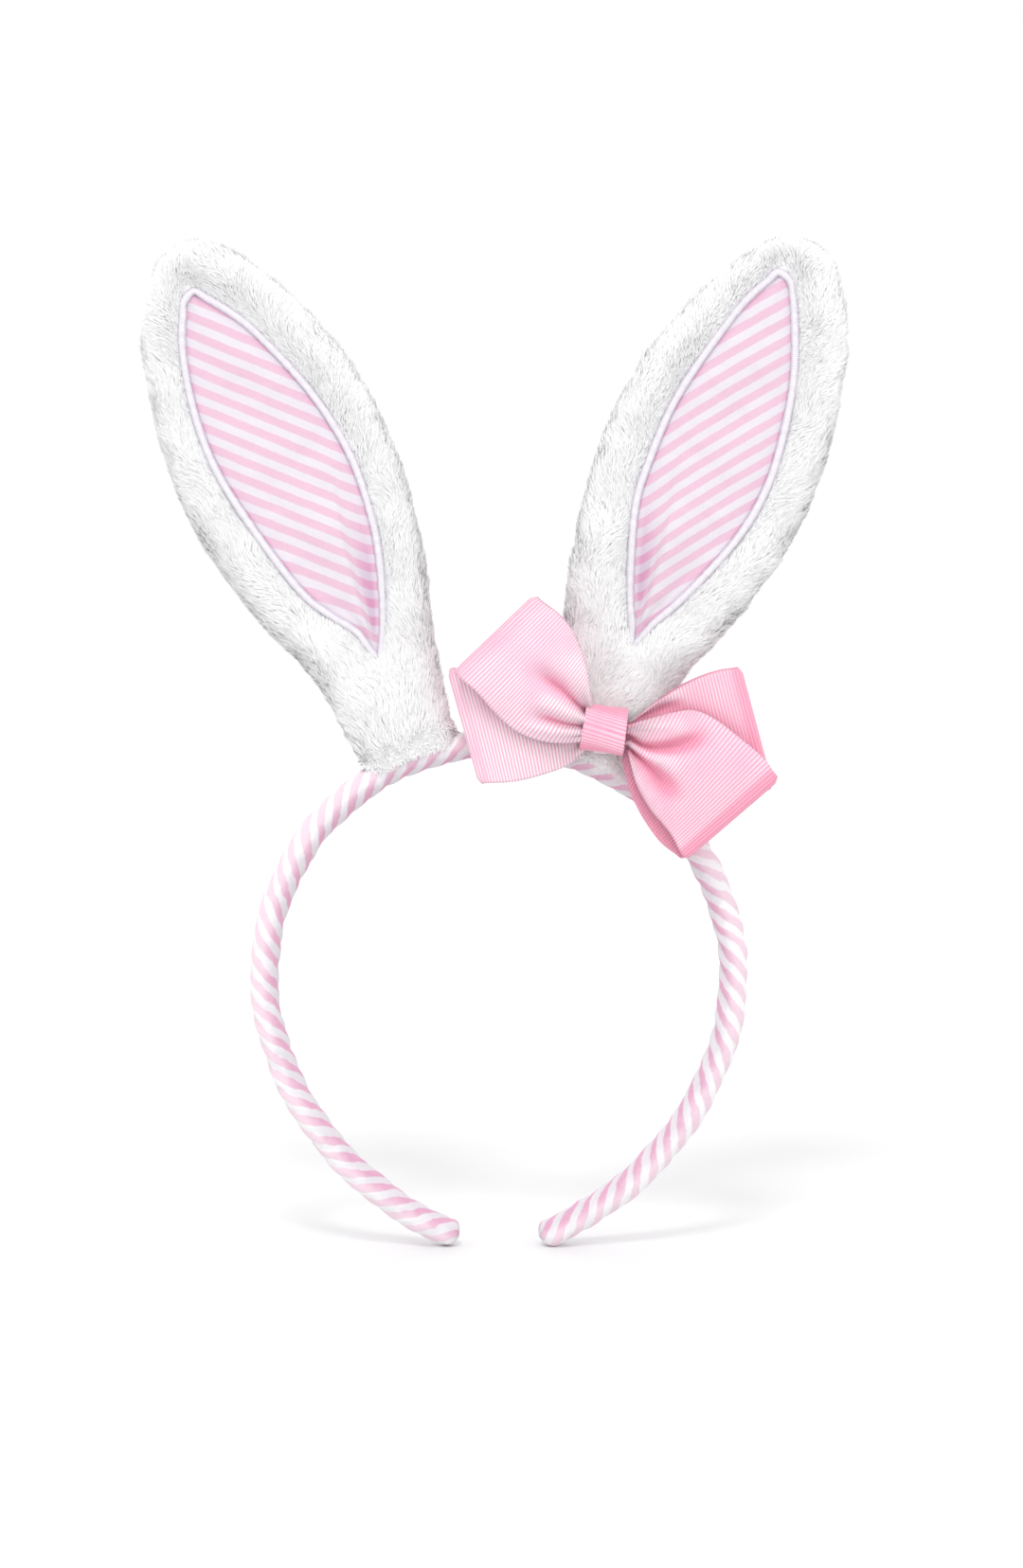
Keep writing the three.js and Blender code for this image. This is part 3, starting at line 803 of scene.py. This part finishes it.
def satin_border(name, side):
    """The ridge of satin stitches over the panel's edge."""
    stitch = 0.45
    outline = border_line(name)
    length = np.linalg.norm(np.diff(np.vstack([outline, outline[:1]]), axis=0), axis=1).sum()
    count = 4 * round(length / stitch)
    path = smooth_path(outline[::3], count, closed=True)
    depth = panel_depth(name, path[:, 1]) + 0.5
    ahead = unit(np.roll(path, -3, axis=0) - np.roll(path, 3, axis=0))
    across = vectors(-ahead[:, 1], 0, ahead[:, 0])
    turn = np.linspace(0, TURN, 12, endpoint=False)
    swell = 1 + 0.09 * np.cos(TURN * np.arange(count) / 4)[:, None]
    swell = swell * (1 + 0.05 * waves(np.column_stack([path, depth]), 0.9, 31))[:, None]
    centre = vectors(path[:, 0], -depth, path[:, 1])
    sideways = (BORDER_HALF[0] * swell * np.cos(turn))[..., None] * across[:, None]
    forward = (BORDER_HALF[1] * swell * np.sin(turn))[..., None] * np.array([0, -1, 0])
    points = to_part(centre[:, None] + sideways + forward, side)
    uv = vectors(np.linspace(0, length, count)[:, None], turn)
    faces = grid_faces(count, len(turn), True, True)
    piece = sealed(mesh_piece(f"ear_{name}_satin_stitching", points, faces, uv=uv))
    body = "ear_" + name
    finished(piece, SATIN_THREAD, body, (body + "_satin_border",))


def tube(name, path, radius, across):
    """A round wire along an open path that never runs along the direction `across`."""
    sides = 8
    ahead = unit(np.gradient(path, axis=0))
    side = unit(np.cross(ahead, across))
    above = np.cross(side, ahead)
    turn = np.linspace(0, TURN, sides, endpoint=False)
    offset = np.cos(turn)[:, None] * side[:, None] + np.sin(turn)[:, None] * above[:, None]
    points = path[:, None] + radius * offset
    return sealed(mesh_piece(name, points, grid_faces(len(path), sides, False, True)))


def seam_wire(name, side):
    """The bent wire sewn into the ear's edge, inside the plush."""
    path = inside_edge(name, WIRE_INSET)
    path = path[path[:, 1] > 2.5]  # clear of the band
    path = to_part(vectors(path[:, 0], 0, path[:, 1]), side)
    wire = tube(f"ear_{name}_seam_wire", path, WIRE_RADIUS, (0, 1.0, 0))
    finished(wire, INNER_FINISHES["ear_wire"], "ear_" + name, (f"ear_{name}_wire",))


def surface_samples(piece, count, seed):
    """Random points of a piece's surface in millimetres, with the normals there."""
    mesh = piece.data
    mesh.calc_loop_triangles()
    tri = np.empty(3 * len(mesh.loop_triangles), np.int32)
    mesh.loop_triangles.foreach_get("vertices", tri)
    tri = tri.reshape(-1, 3)
    co, normal = of_vertices(mesh, "co") / MM, of_vertices(mesh, "normal")
    a, b, c = (co[tri[:, k]] for k in range(3))
    area = np.linalg.norm(np.cross(b - a, c - a), axis=1)
    rng = np.random.default_rng(seed)
    pick = rng.choice(len(tri), count, p=area / area.sum())
    u, v = rng.random((2, count, 1))
    u, v = np.where(u + v > 1, 1 - u, u), np.where(u + v > 1, 1 - v, v)
    weights = (1 - u - v, u, v)
    at = sum(w * p[pick] for w, p in zip(weights, (a, b, c)))
    way = sum(w * normal[tri[pick, k]] for k, w in enumerate(weights))
    return at.astype(float), unit(way.astype(float))


def pile(name, side, backing):
    """The plush's pile as tapered fibres, combed up the ear, shorter round the panel, none under its foot."""
    body = "ear_" + name
    roots, normals = surface_samples(backing, 240000, 41 + side)
    local = to_plane(roots, side)
    leaf = signed_distance(local[:, [0, 2]], border_line(name))
    on_front = local[:, 1] < 0
    up, inwards = to_part_way((0, 0, 1.0), side), to_part_way((1.0, 0, 0), side)
    faces_band = (local[:, 2] < 4) & (normals @ -up > 0.75)
    bare = (on_front & (leaf < 0.75)) | faces_band
    rng = np.random.default_rng(51 + side)
    made = []
    for half, chosen in (("front", on_front & ~bare), ("back", ~on_front & ~bare)):
        index = np.flatnonzero(chosen)[:FIBRES]
        root, normal, place = roots[index], normals[index], local[index]
        swirl = 0.55 * waves(root, 7, 61) + 0.25 * waves(root, 2.2, 62)
        comb = up + swirl[:, None] * inwards
        outwards = np.sign(place[:, :1] - 1.2) * smooth(np.abs(place[:, :1] - 1.2), 0, 20) * 0.35
        comb = comb + outwards * inwards
        foot = smooth(place[:, 2], 5, -1)[:, None]
        comb = unit(comb) * (1 - 1.4 * foot)
        comb = comb - (comb * normal).sum(1, keepdims=True) * normal
        lies = np.clip(np.linalg.norm(comb, axis=1), 0.45, 1)
        length = rng.normal(FIBRE_LENGTH, FIBRE_SPREAD, len(index)) * (1 + 0.12 * waves(root, 4, 63)) * lies
        near = smooth(leaf[index], 1.0, 4.5) if half == "front" else np.ones(len(index))
        length = np.clip(length * (0.6 + 0.4 * near), 0.9, 4.0)[:, None]
        start = unit(0.8 * normal + 0.9 * comb + 0.12 * rng.normal(size=root.shape))
        lift = 0.3 + 0.16 * rng.normal(size=(len(index), 1)) + 0.4 * (rng.random((len(index), 1)) < 0.03)
        finish = unit(lift * normal + 1.05 * comb + 0.2 * rng.normal(size=root.shape))
        middle = root + 0.42 * length * start
        tip = clumped(root, middle + 0.6 * length * finish, rng, 0.2)
        sideways = unit(np.cross(normal, comb))
        across = vectors((root * sideways).sum(1), 0.25 * (root * unit(comb)).sum(1), place[:, 1])
        lock = waves(across, 1.6, 64)[:, None]
        sewn = fibres(f"{body}_pile_{half}", root, middle, tip, normal, normal + 0.16 * lock * sideways, rng)
        painted_rim_shade = np.exp(-((place[:, 1] / 3.2) ** 2)) * smooth(place[:, 2], 4, 30)  # painted shade along the ear's edge, where the rim turns from the light
        mark(sewn, "painted_rim_shade", np.repeat(painted_rim_shade, 5))
        made.append(sewn)
    return made


def clumped(root, tip, rng, share):
    """Tips drawn part of the way towards the tip of the nearest of some leading fibres."""
    leaders = rng.choice(len(root), len(root) // 28, replace=False)
    tree = kdtree.KDTree(len(leaders))
    for k, p in enumerate(root[leaders]):
        tree.insert(p, k)
    tree.balance()
    nearest = np.array([tree.find(p)[1] for p in root])
    return tip + share * (tip[leaders][nearest] - tip)


def fibres(name, root, middle, tip, normal, facing, rng):
    """Flat tapered fibres, each a quad and a triangle."""
    count = len(root)
    way = unit(tip - root)
    flat = unit(np.cross(way, normal))
    roll = rng.uniform(-0.7, 0.7, (count, 1))
    flat = unit(flat * np.cos(roll) + np.cross(way, flat) * np.sin(roll))
    wide = rng.uniform(0.11, 0.17, (count, 1))
    foot = [root - flat * wide, root + flat * wide]
    points = np.stack([*foot, middle + 0.85 * flat * wide, middle - 0.85 * flat * wide, tip], axis=1)
    base = 5 * np.arange(count)[:, None]
    piece = mesh_piece(name, points, base + np.array([0, 1, 2, 3]), base + np.array([3, 2, 4]))
    # A soft pile takes the light as its skin does, with a little of each fibre's own slope.
    shading = unit(facing + 0.7 * unit(np.cross(flat, way)) + 0.2 * rng.normal(size=normal.shape))
    piece.data.normals_split_custom_set_from_vertices(np.repeat(shading, 5, axis=0))
    return finished(piece, PLUSH)


# ---- bow ----

RIBBON_WIDTH = 32
RIBBON_HALF = 0.2  # half the ribbon's thickness
FOLD_STEPS = 40
FOLD_RADII = {"front": 2.2, "back": 1.6}
ACROSS = 37  # points across a ribbon
KNOT_CENTRE = (BOW_CENTRE[0] - 1.2, -11.6, BOW_CENTRE[1] + 1.3)
KNOT_HALF = (4.9, 5.9)  # half depth, half height
KNOT_WIDTH = 11.2
THREAD_CENTRE = (BOW_CENTRE[0] - 0.8, -11.9, BOW_CENTRE[1] + 0.8)
THREAD_HALF = (3.4, 4.3)
THREAD_TURNS, THREAD_RADIUS = 5, 0.3
BEAD_CENTRE = (KNOT_CENTRE[0], -5.6, 2.7)
BEAD_HALF = (3.3, 1.5, 1.4)
CREASE_SHIFT = (-0.7, 0.8)  # from the creases' drawn places to the lobes'

# Each lobe from the knot out to its fold, seen from the front: its upper and its lower edge.
LOBES = {
    "front_left": dict(
        top=[(24.3, 12.2), (23.6, 17.0), (22.4, 25.0), (19.2, 33.2), (15.4, 38.4), (9.4, 43.3)],
        bottom=[(23.2, 5.8), (17, 5.0), (10.0, 5.9), (4.0, 8.6), (-1.2, 13.2), (-6.6, 19.3), (-11.4, 23.4)],
    ),
    "front_right": dict(
        top=[(33.6, 9.6), (39.5, 11.4), (45.0, 12.9), (50.3, 13.4), (56.0, 10.9), (63.3, 5.2), (69.0, 0.3),
             (72.4, -4.3)],
        bottom=[(32.8, 4.2), (34.1, -0.3), (35.6, -5.6), (39.3, -12.2), (42.6, -16.2), (45.5, -19.9),
                (48.4, -25.2)],
        back_bottom=[(32.0, 2.2), (32.0, -0.6), (33.8, -7.4), (36.3, -12.9), (39.3, -17.7), (42.9, -22.2),
                     (47.4, -25.9)],
    ),
    "back_left": dict(
        top=[(24.2, 10.8), (16, 14.5), (5, 18.6), (-6, 22), (-13.2, 23.6)],
        bottom=[(23.2, 3.4), (17.7, -1.1), (7.7, -4.4), (1.3, -5.6), (-5.0, -6.1)],
    ),
    "back_right": dict(
        top=[(34.2, 9.9), (41.1, 15.6), (46.6, 19.2), (52.1, 21.8), (57.6, 23.6), (62.3, 24.4)],
        bottom=[(34.2, 3.4), (44, -0.5), (55, -4.5), (64, -6.4), (70.9, -7.2)],
    ),
}

# The creases that run out from the knot, and the swells (below zero) between them: a line, how wide it is at
# its start and its end, and how deep.
# Each crease also gets painted shade, and each swell a painted highlight.
CREASES = {
    "front_left": [
        ([(24.8, 11.0), (21.6, 13.5), (17.1, 18.0), (13.0, 21.0), (9.9, 23.0), (6.5, 25.0)], 0.9, 3.0, 3.4),
        ([(23.4, 8.2), (17.7, 9.4), (12.0, 11.2), (6.5, 12.2)], 0.6, 2.2, 2.4),
        ([(23.8, 10.0), (18.5, 12.2), (14.0, 14.6), (9.0, 17.0)], 0.5, 2.2, -0.9),
        ([(23.2, 6.6), (17.0, 7.2), (11.0, 8.4), (5.0, 10.6)], 0.5, 1.2, -0.7),
        ([(25.4, 13.4), (23.4, 17.5), (21.2, 23.0), (18.0, 29.0)], 0.5, 2.4, -0.6),
    ],
    "front_right": [
        ([(33.8, 5.6), (38.0, 3.4), (43.0, 3.2), (48.5, 4.2), (53.5, 5.8), (57.0, 7.0)], 0.8, 2.8, 3.2),
        ([(33.4, 3.2), (38.5, -0.8), (42.1, -4.4), (45.5, -8.5), (48.0, -12.0)], 0.5, 3.0, 2.8),
        ([(34.0, 4.4), (39.0, 1.2), (44.0, -0.6), (49.0, -2.0)], 0.4, 1.8, -0.8),
        ([(34.4, 7.6), (39.0, 8.4), (44.0, 9.0), (50.0, 9.2)], 0.5, 1.8, -0.8),
        ([(34.2, 0.5), (36.6, -4.5), (39.5, -9.5), (43.0, -14.5)], 0.4, 1.6, -0.6),
    ],
    "back_left": [],
    "back_right": [
        ([(34.6, 8.4), (41.0, 12.2), (50.0, 15.0)], 0.7, 2.2, 1.2),
        ([(35.4, 10.6), (42.0, 14.8), (50.0, 18.0)], 0.6, 2.0, -0.6),
    ],
}
# Painted shade over a lobe as a whole, below zero a painted highlight, and at its fold, where the ribbon
# turns from the light.
LOBE_PAINTED_SHADES = {"front_left": -0.3, "front_right": 0.28, "back_left": -0.55, "back_right": 0.28}
FOLD_PAINTED_SHADES = {"front_left": 0.5, "front_right": 0.5, "back_left": 0.4, "back_right": 0.35}
# The edge of the lobe in front that lies over a back lobe and shades it.
OVERHANGS = {"back_left": ("front_left", "bottom"), "back_right": ("front_right", "top")}


def line_distance(points, line):
    """How far 2-D points lie from a line, and the share of its length at which they are nearest."""
    path = smooth_path(line, 48)
    away = np.linalg.norm(points[..., None, :] - path, axis=-1)
    return away.min(-1), away.argmin(-1) / (len(path) - 1)


def folds(name, flat):
    """How far a lobe's creases draw its front layer in, and its painted shade there, from -1 to 1: shade in
    the creases and under a lobe in front, a painted highlight on the swells.
    """
    flat = flat - CREASE_SHIFT
    inwards, painted_shade = 0 * flat[..., 0], LOBE_PAINTED_SHADES[name] + 0 * flat[..., 0]
    for line, narrow, wide, depth in CREASES[name]:
        away, share = line_distance(flat, line)
        amount = (1 - smooth(share, 0.55, 1)) * np.exp(-((away / (narrow + (wide - narrow) * share)) ** 2))
        inwards += depth * amount
        # Painted shade in a crease, a painted highlight on a swell.
        painted_shade += amount if depth > 0 else -0.8 * amount
    # Painted shadow of the edge of the lobe in front.
    if name in OVERHANGS:
        lobe, edge = OVERHANGS[name]
        away, _ = line_distance(flat + CREASE_SHIFT, LOBES[lobe][edge])
        painted_shade += 0.5 * np.exp(-away / 1.8)
    return inwards, painted_shade


def coons(top, bottom, u, w):
    """The patch between two edges, from their starts (u 0) to their ends (u 1); w runs from bottom to top."""
    u, w = u[..., None], w[..., None]
    start = bottom[0] + w[:1] * (top[0] - bottom[0])
    end = bottom[-1] + w[:1] * (top[-1] - bottom[-1])
    blend = (1 - w) * bottom[:, None] + w * top[:, None] + (1 - u) * start + u * end
    start_corners = (1 - u) * (1 - w) * bottom[0] + (1 - u) * w * top[0]
    return blend - (start_corners + u * (1 - w) * bottom[-1] + u * w * top[-1])


def lobe_layers(name, fold_radius, heights):
    """A lobe's front and back layers as grids from the knot to the fold, and the turn between them."""
    steps = 240
    share = np.linspace(0, 1, ACROSS)
    u, w = np.broadcast_arrays(np.linspace(0, 1, steps)[:, None], share[None])
    edges = LOBES[name]
    top = smooth_path(edges["top"], steps)
    bottom = smooth_path(edges["bottom"], steps)
    back_bottom = smooth_path(edges.get("back_bottom", edges["bottom"]), steps)
    out = unit((top[-1] + bottom[-1]) / 2 - (top[0] + bottom[0]) / 2)
    fold_line = unit(top[-1] - bottom[-1])
    out = unit(out - (out @ fold_line) * fold_line)
    pull = (np.linspace(0, 1, steps) ** 3)[:, None] * fold_radius * out
    layers = []
    for side, lower in ((0, bottom), (1, back_bottom)):
        flat = coons(top - pull, lower - pull, u, w)
        depth = heights(side, u, 2 * w - 1)
        # The back layer, whose face looks into the loop, gets even painted shade.
        painted_shade = np.full(u.shape, 0.9)
        if side == 0:
            inwards, painted_shade = folds(name, flat)
            depth = depth + inwards * smooth(1 - u, 0, 0.2)
            # Painted shade at the fold, where the ribbon turns from the light, and next to the knot.
            painted_shade = painted_shade + FOLD_PAINTED_SHADES[name] * smooth(u, 0.93, 1) + 0.4 * smooth(u, 0.08, 0)
        layers.append(vectors(flat[..., 0], depth, flat[..., 1], np.clip(painted_shade, -1, 1)))
    front, back = layers
    turn = np.linspace(0, math.pi, FOLD_STEPS)[1:-1, None]
    middle, half = (front[-1] + back[-1]) / 2, (back[-1, :, 1] - front[-1, :, 1]) / 2
    back_share = (0.5 - np.cos(turn) * 0.5)[..., None]
    centre = front[-1][None] * (1 - back_share) + back[-1][None] * back_share
    corners = 1 - 0.45 * smooth(np.abs(2 * share - 1), 0.88, 1)
    lift = fold_radius * np.sin(turn) * (half / half.mean() * corners)[None]
    centre[..., 0] += out[0] * lift
    centre[..., 2] += out[1] * lift
    centre[..., 1] = middle[None, :, 1] - np.cos(turn) * half[None]
    return front, centre, back


def ribbon_loop(name, layers, replaced):
    """One closed loop of ribbon through the knot: out to the left fold, back across the front, and round."""
    left_front, left_turn, left_back = layers[0]
    right_front, right_turn, right_back = layers[1]
    across_front = bridge(left_front[0], right_front[0])
    across_back = bridge(right_back[0], left_back[0])
    left = [left_back, left_turn[::-1], left_front[::-1]]
    right = [right_front, right_turn, right_back[::-1]]
    rough_loop = np.concatenate([*left, across_front, *right, across_back], axis=0)
    middle = rough_loop[:, ACROSS // 2, :3]
    step = np.linalg.norm(np.diff(np.vstack([middle, middle[:1]]), axis=0), axis=1)
    length = np.r_[0, np.cumsum(step)]
    rows = 4 * round(length[-1] / RIB)
    at = np.arange(rows) * length[-1] / rows
    whole = np.concatenate([rough_loop, rough_loop[:1]], axis=0)
    channels = [[np.interp(at, length, whole[:, j, k]) for j in range(ACROSS)] for k in range(4)]
    grid = np.transpose(channels, (2, 1, 0))
    for _ in range(3):
        grid = (np.roll(grid, 1, axis=0) + 2 * grid + np.roll(grid, -1, axis=0)) / 4
    piece = ribbed(name, grid[..., :3], grid[..., 3], RIBBON_WIDTH, 0.11, 0.985, replaced)


def ribbed(name, grid, painted_shade, width, rib_height, selvedge, replaced):
    """A closed loop of grosgrain whose ribs fade out past its selvedge, a share of its half width."""
    rows, columns = grid.shape[:2]
    steps = np.arange(rows)[:, None]  # four to a rib
    rib = np.cos(TURN * steps / 4)
    half = RIBBON_HALF + rib_height * rib * (1 - smooth(np.abs(np.linspace(-1, 1, columns)), selvedge, 1.0))
    uv = vectors(steps * RIB / 4, np.linspace(0, width, columns))
    piece = sealed(thick_sheet(name, grid, half, uv, painted_shade, closed_rows=True))
    return finished(piece, GROSGRAIN, "crown", replaced)


def bridge(a, b):
    """Straight across from one row of points to another, without its two ends."""
    share = np.linspace(0, 1, 30)[1:-1, None, None]
    return a[None] + share * (b - a)[None]


def front_heights(side, u, v):
    """How far forward the two layers of the front loop's lobes stand."""
    if side == 1:
        return -13.0 + 0.2 * np.sin(math.pi * u) - 0.2 * smooth(u, 0.6, 1) + 0 * v
    puff = 4.6 * np.sin(math.pi * u) ** 1.1 * (1 - 0.7 * v * v)
    gather = 0.5 * (1 - smooth(u, 0.0, 0.3)) * np.cos(3.5 * math.pi * v)
    return -14.9 - puff - 2.0 * smooth(u, 0.5, 1) + gather


def back_heights(side, u, v):
    """The same for the back loop's lobes, which lie flatter."""
    if side == 1:
        return -9.0 + 0.3 * np.sin(math.pi * u) + 0 * v
    gather = 0.4 * (1 - smooth(u, 0, 0.3)) * np.cos(4 * math.pi * v)
    return -12.1 - 1.6 * np.sin(math.pi * u) * smooth(u, 0, 0.6) + gather


def bow():
    """Two loops of ribbon, gathered by a thread and glued on, with a knot over the middle."""
    for loop, heights in (("front", front_heights), ("back", back_heights)):
        layers = [lobe_layers(f"{loop}_{side}", FOLD_RADII[loop], heights) for side in SIDES]
        ribbon_loop(f"bow_{loop}_ribbon", layers, (f"bow_{loop}_loop",))
    bow_knot()
    tie_thread()
    glue_bead()


def bow_knot():
    """The short ribbon wound round the gathered middle."""
    depth, height = KNOT_HALF
    rows = 4 * round(TURN * 5.6 / RIB)
    turn = np.arange(rows) * TURN / rows
    v = np.linspace(-1, 1, 29)[None]
    round_y = np.sign(np.sin(turn)) * np.abs(np.sin(turn)) ** 0.8 * depth
    round_z = np.sign(np.cos(turn)) * np.abs(np.cos(turn)) ** 0.8 * height
    front = smooth(np.sin(turn), 0, 1)[:, None]
    waist = 1 - 0.03 * (1 - v * v)
    tuck = 0.16 * np.cos(TURN * 1.5 * v + 0.5) * front
    x = v * KNOT_WIDTH / 2 * (1 - 0.03 * np.cos(turn)[:, None])
    y = KNOT_CENTRE[1] - round_y[:, None] * (waist + tuck / depth)
    z = round_z[:, None] * waist - 0.95 * v * front
    right, up = turned(x, z, math.radians(8))
    grid = vectors(KNOT_CENTRE[0] + right, y, KNOT_CENTRE[2] + up)
    # A darker pink over the whole knot, and painted shade at its top and bottom, where it turns from the
    # light.
    painted_shade = 0.42 + 0.5 * smooth(np.abs(np.cos(turn)), 0.55, 0.95)[:, None] + 0 * v
    piece = ribbed("bow_knot_ribbon", grid, painted_shade, KNOT_WIDTH, 0.1, 0.97, ("bow_knot",))


def tie_thread():
    """Turns of thread round the gathered middle, under the knot."""
    count = 360
    turn = np.linspace(0, THREAD_TURNS * TURN, count)
    x = np.linspace(-1.7, 1.7, count) + 0.12 * np.sin(2.3 * turn)
    y, z = THREAD_CENTRE[1] - THREAD_HALF[0] * np.cos(turn), THREAD_HALF[1] * np.sin(turn)
    right, up = turned(x, z, math.radians(15))
    path = vectors(THREAD_CENTRE[0] + right, y, THREAD_CENTRE[2] + up)
    piece = tube("bow_tie_thread_turns", path, THREAD_RADIUS, (1.0, 0, 0))
    finished(piece, INNER_FINISHES["bow_thread"], "crown", ("bow_tie_thread",))


def glue_bead():
    """The set drop between the knot and the band."""
    columns = 28
    round_it = np.linspace(0, TURN, columns, endpoint=False)
    rise = np.linspace(-math.pi / 2, math.pi / 2, 17)[:, None]
    ball = vectors(np.cos(rise) * np.cos(round_it), np.sin(rise), np.cos(rise) * np.sin(round_it))
    size = 1 + 0.12 * waves(ball.reshape(-1, 3), 0.9, 71).reshape(ball.shape[:2] + (1,))
    points = np.array(BEAD_CENTRE) + ball * size * BEAD_HALF
    piece = sealed(mesh_piece("bow_glue_bead", points, grid_faces(len(rise), columns, False, True)), 0.01)
    finished(piece, INNER_FINISHES["bow_glue"], "crown", ("bow_glue",))


# ---- studio ----

FLOOR_REACH = 20000
FLOOR_GAP = 0.2  # below the tips
CAMERA_TARGET = Vector((0.0033, 0, -0.0072))  # in metres, as is the distance
CAMERA_DISTANCE = 1.138
CAMERA_HEIGHT = math.radians(6)


def studio():
    """A pale floor out to the horizon, soft light from all sides, and the photograph's camera."""
    scene = bpy.context.scene
    scene.view_settings.view_transform = "Standard"
    world = bpy.data.worlds.new("studio")
    world.use_nodes = True
    background = world.node_tree.nodes["Background"]
    background.inputs["Color"].default_value = (1, 1, 1, 1)
    background.inputs["Strength"].default_value = 1.0
    scene.world = world
    corners = np.array([(-1, -1, 0), (1, -1, 0), (1, 1, 0), (-1, 1, 0)]) * FLOOR_REACH
    floor = mesh_piece("floor", corners + (0, 0, cad_box[0].z / MM - FLOOR_GAP), [(0, 1, 2, 3)])
    f = Finish("floor_paper", Roughness=0.9)
    f.colour(f.mix(f.noise(40), (0.717, 0.717, 0.722, 1), (0.737, 0.737, 0.742, 1)))
    floor.data.materials.append(f.material)
    sun("key", (-0.12, -0.65, 1.05), 0.75, 13)
    sun("front", (0.05, -1.0, 0.3), 0.9, 60)
    sun("back", (-0.2, 1.0, 0.35), 0.75, 60)
    for side in SIDES.values():
        sun("side", (side, -0.1, 0.12), 0.5, 60)
    camera_data = bpy.data.cameras.new("camera")
    camera_data.sensor_fit = "VERTICAL"
    camera_data.sensor_height = 36
    camera_data.lens = 100
    camera = bpy.data.objects.new("camera", camera_data)
    scene.collection.objects.link(camera)
    towards = Vector((0, -math.cos(CAMERA_HEIGHT), math.sin(CAMERA_HEIGHT)))
    camera.location = CAMERA_TARGET + CAMERA_DISTANCE * towards
    camera.rotation_euler = (CAMERA_TARGET - camera.location).to_track_quat("-Z", "Y").to_euler()
    scene.camera = camera


def sun(name, towards, strength, spread):
    """Soft light that is as strong everywhere, so that the floor stays even out to the horizon."""
    data = bpy.data.lights.new(name, "SUN")
    data.energy, data.angle = strength, math.radians(spread)
    light = bpy.data.objects.new(name, data)
    bpy.context.scene.collection.objects.link(light)
    light.rotation_euler = Vector(towards).to_track_quat("Z", "Y").to_euler()


# ---- the headband ----

slots = {row["node"]: row["material_slot"] for row in record["subparts"]}
for node, shown in frame["nodes"].items():
    if slots[node] in INNER_FINISHES:
        shown.data.materials.clear()
        shown.data.materials.append(INNER_FINISHES[slots[node]])

studio()
band()
for ear_name, ear_side in SIDES.items():
    ear(ear_name, ear_side)
bow()
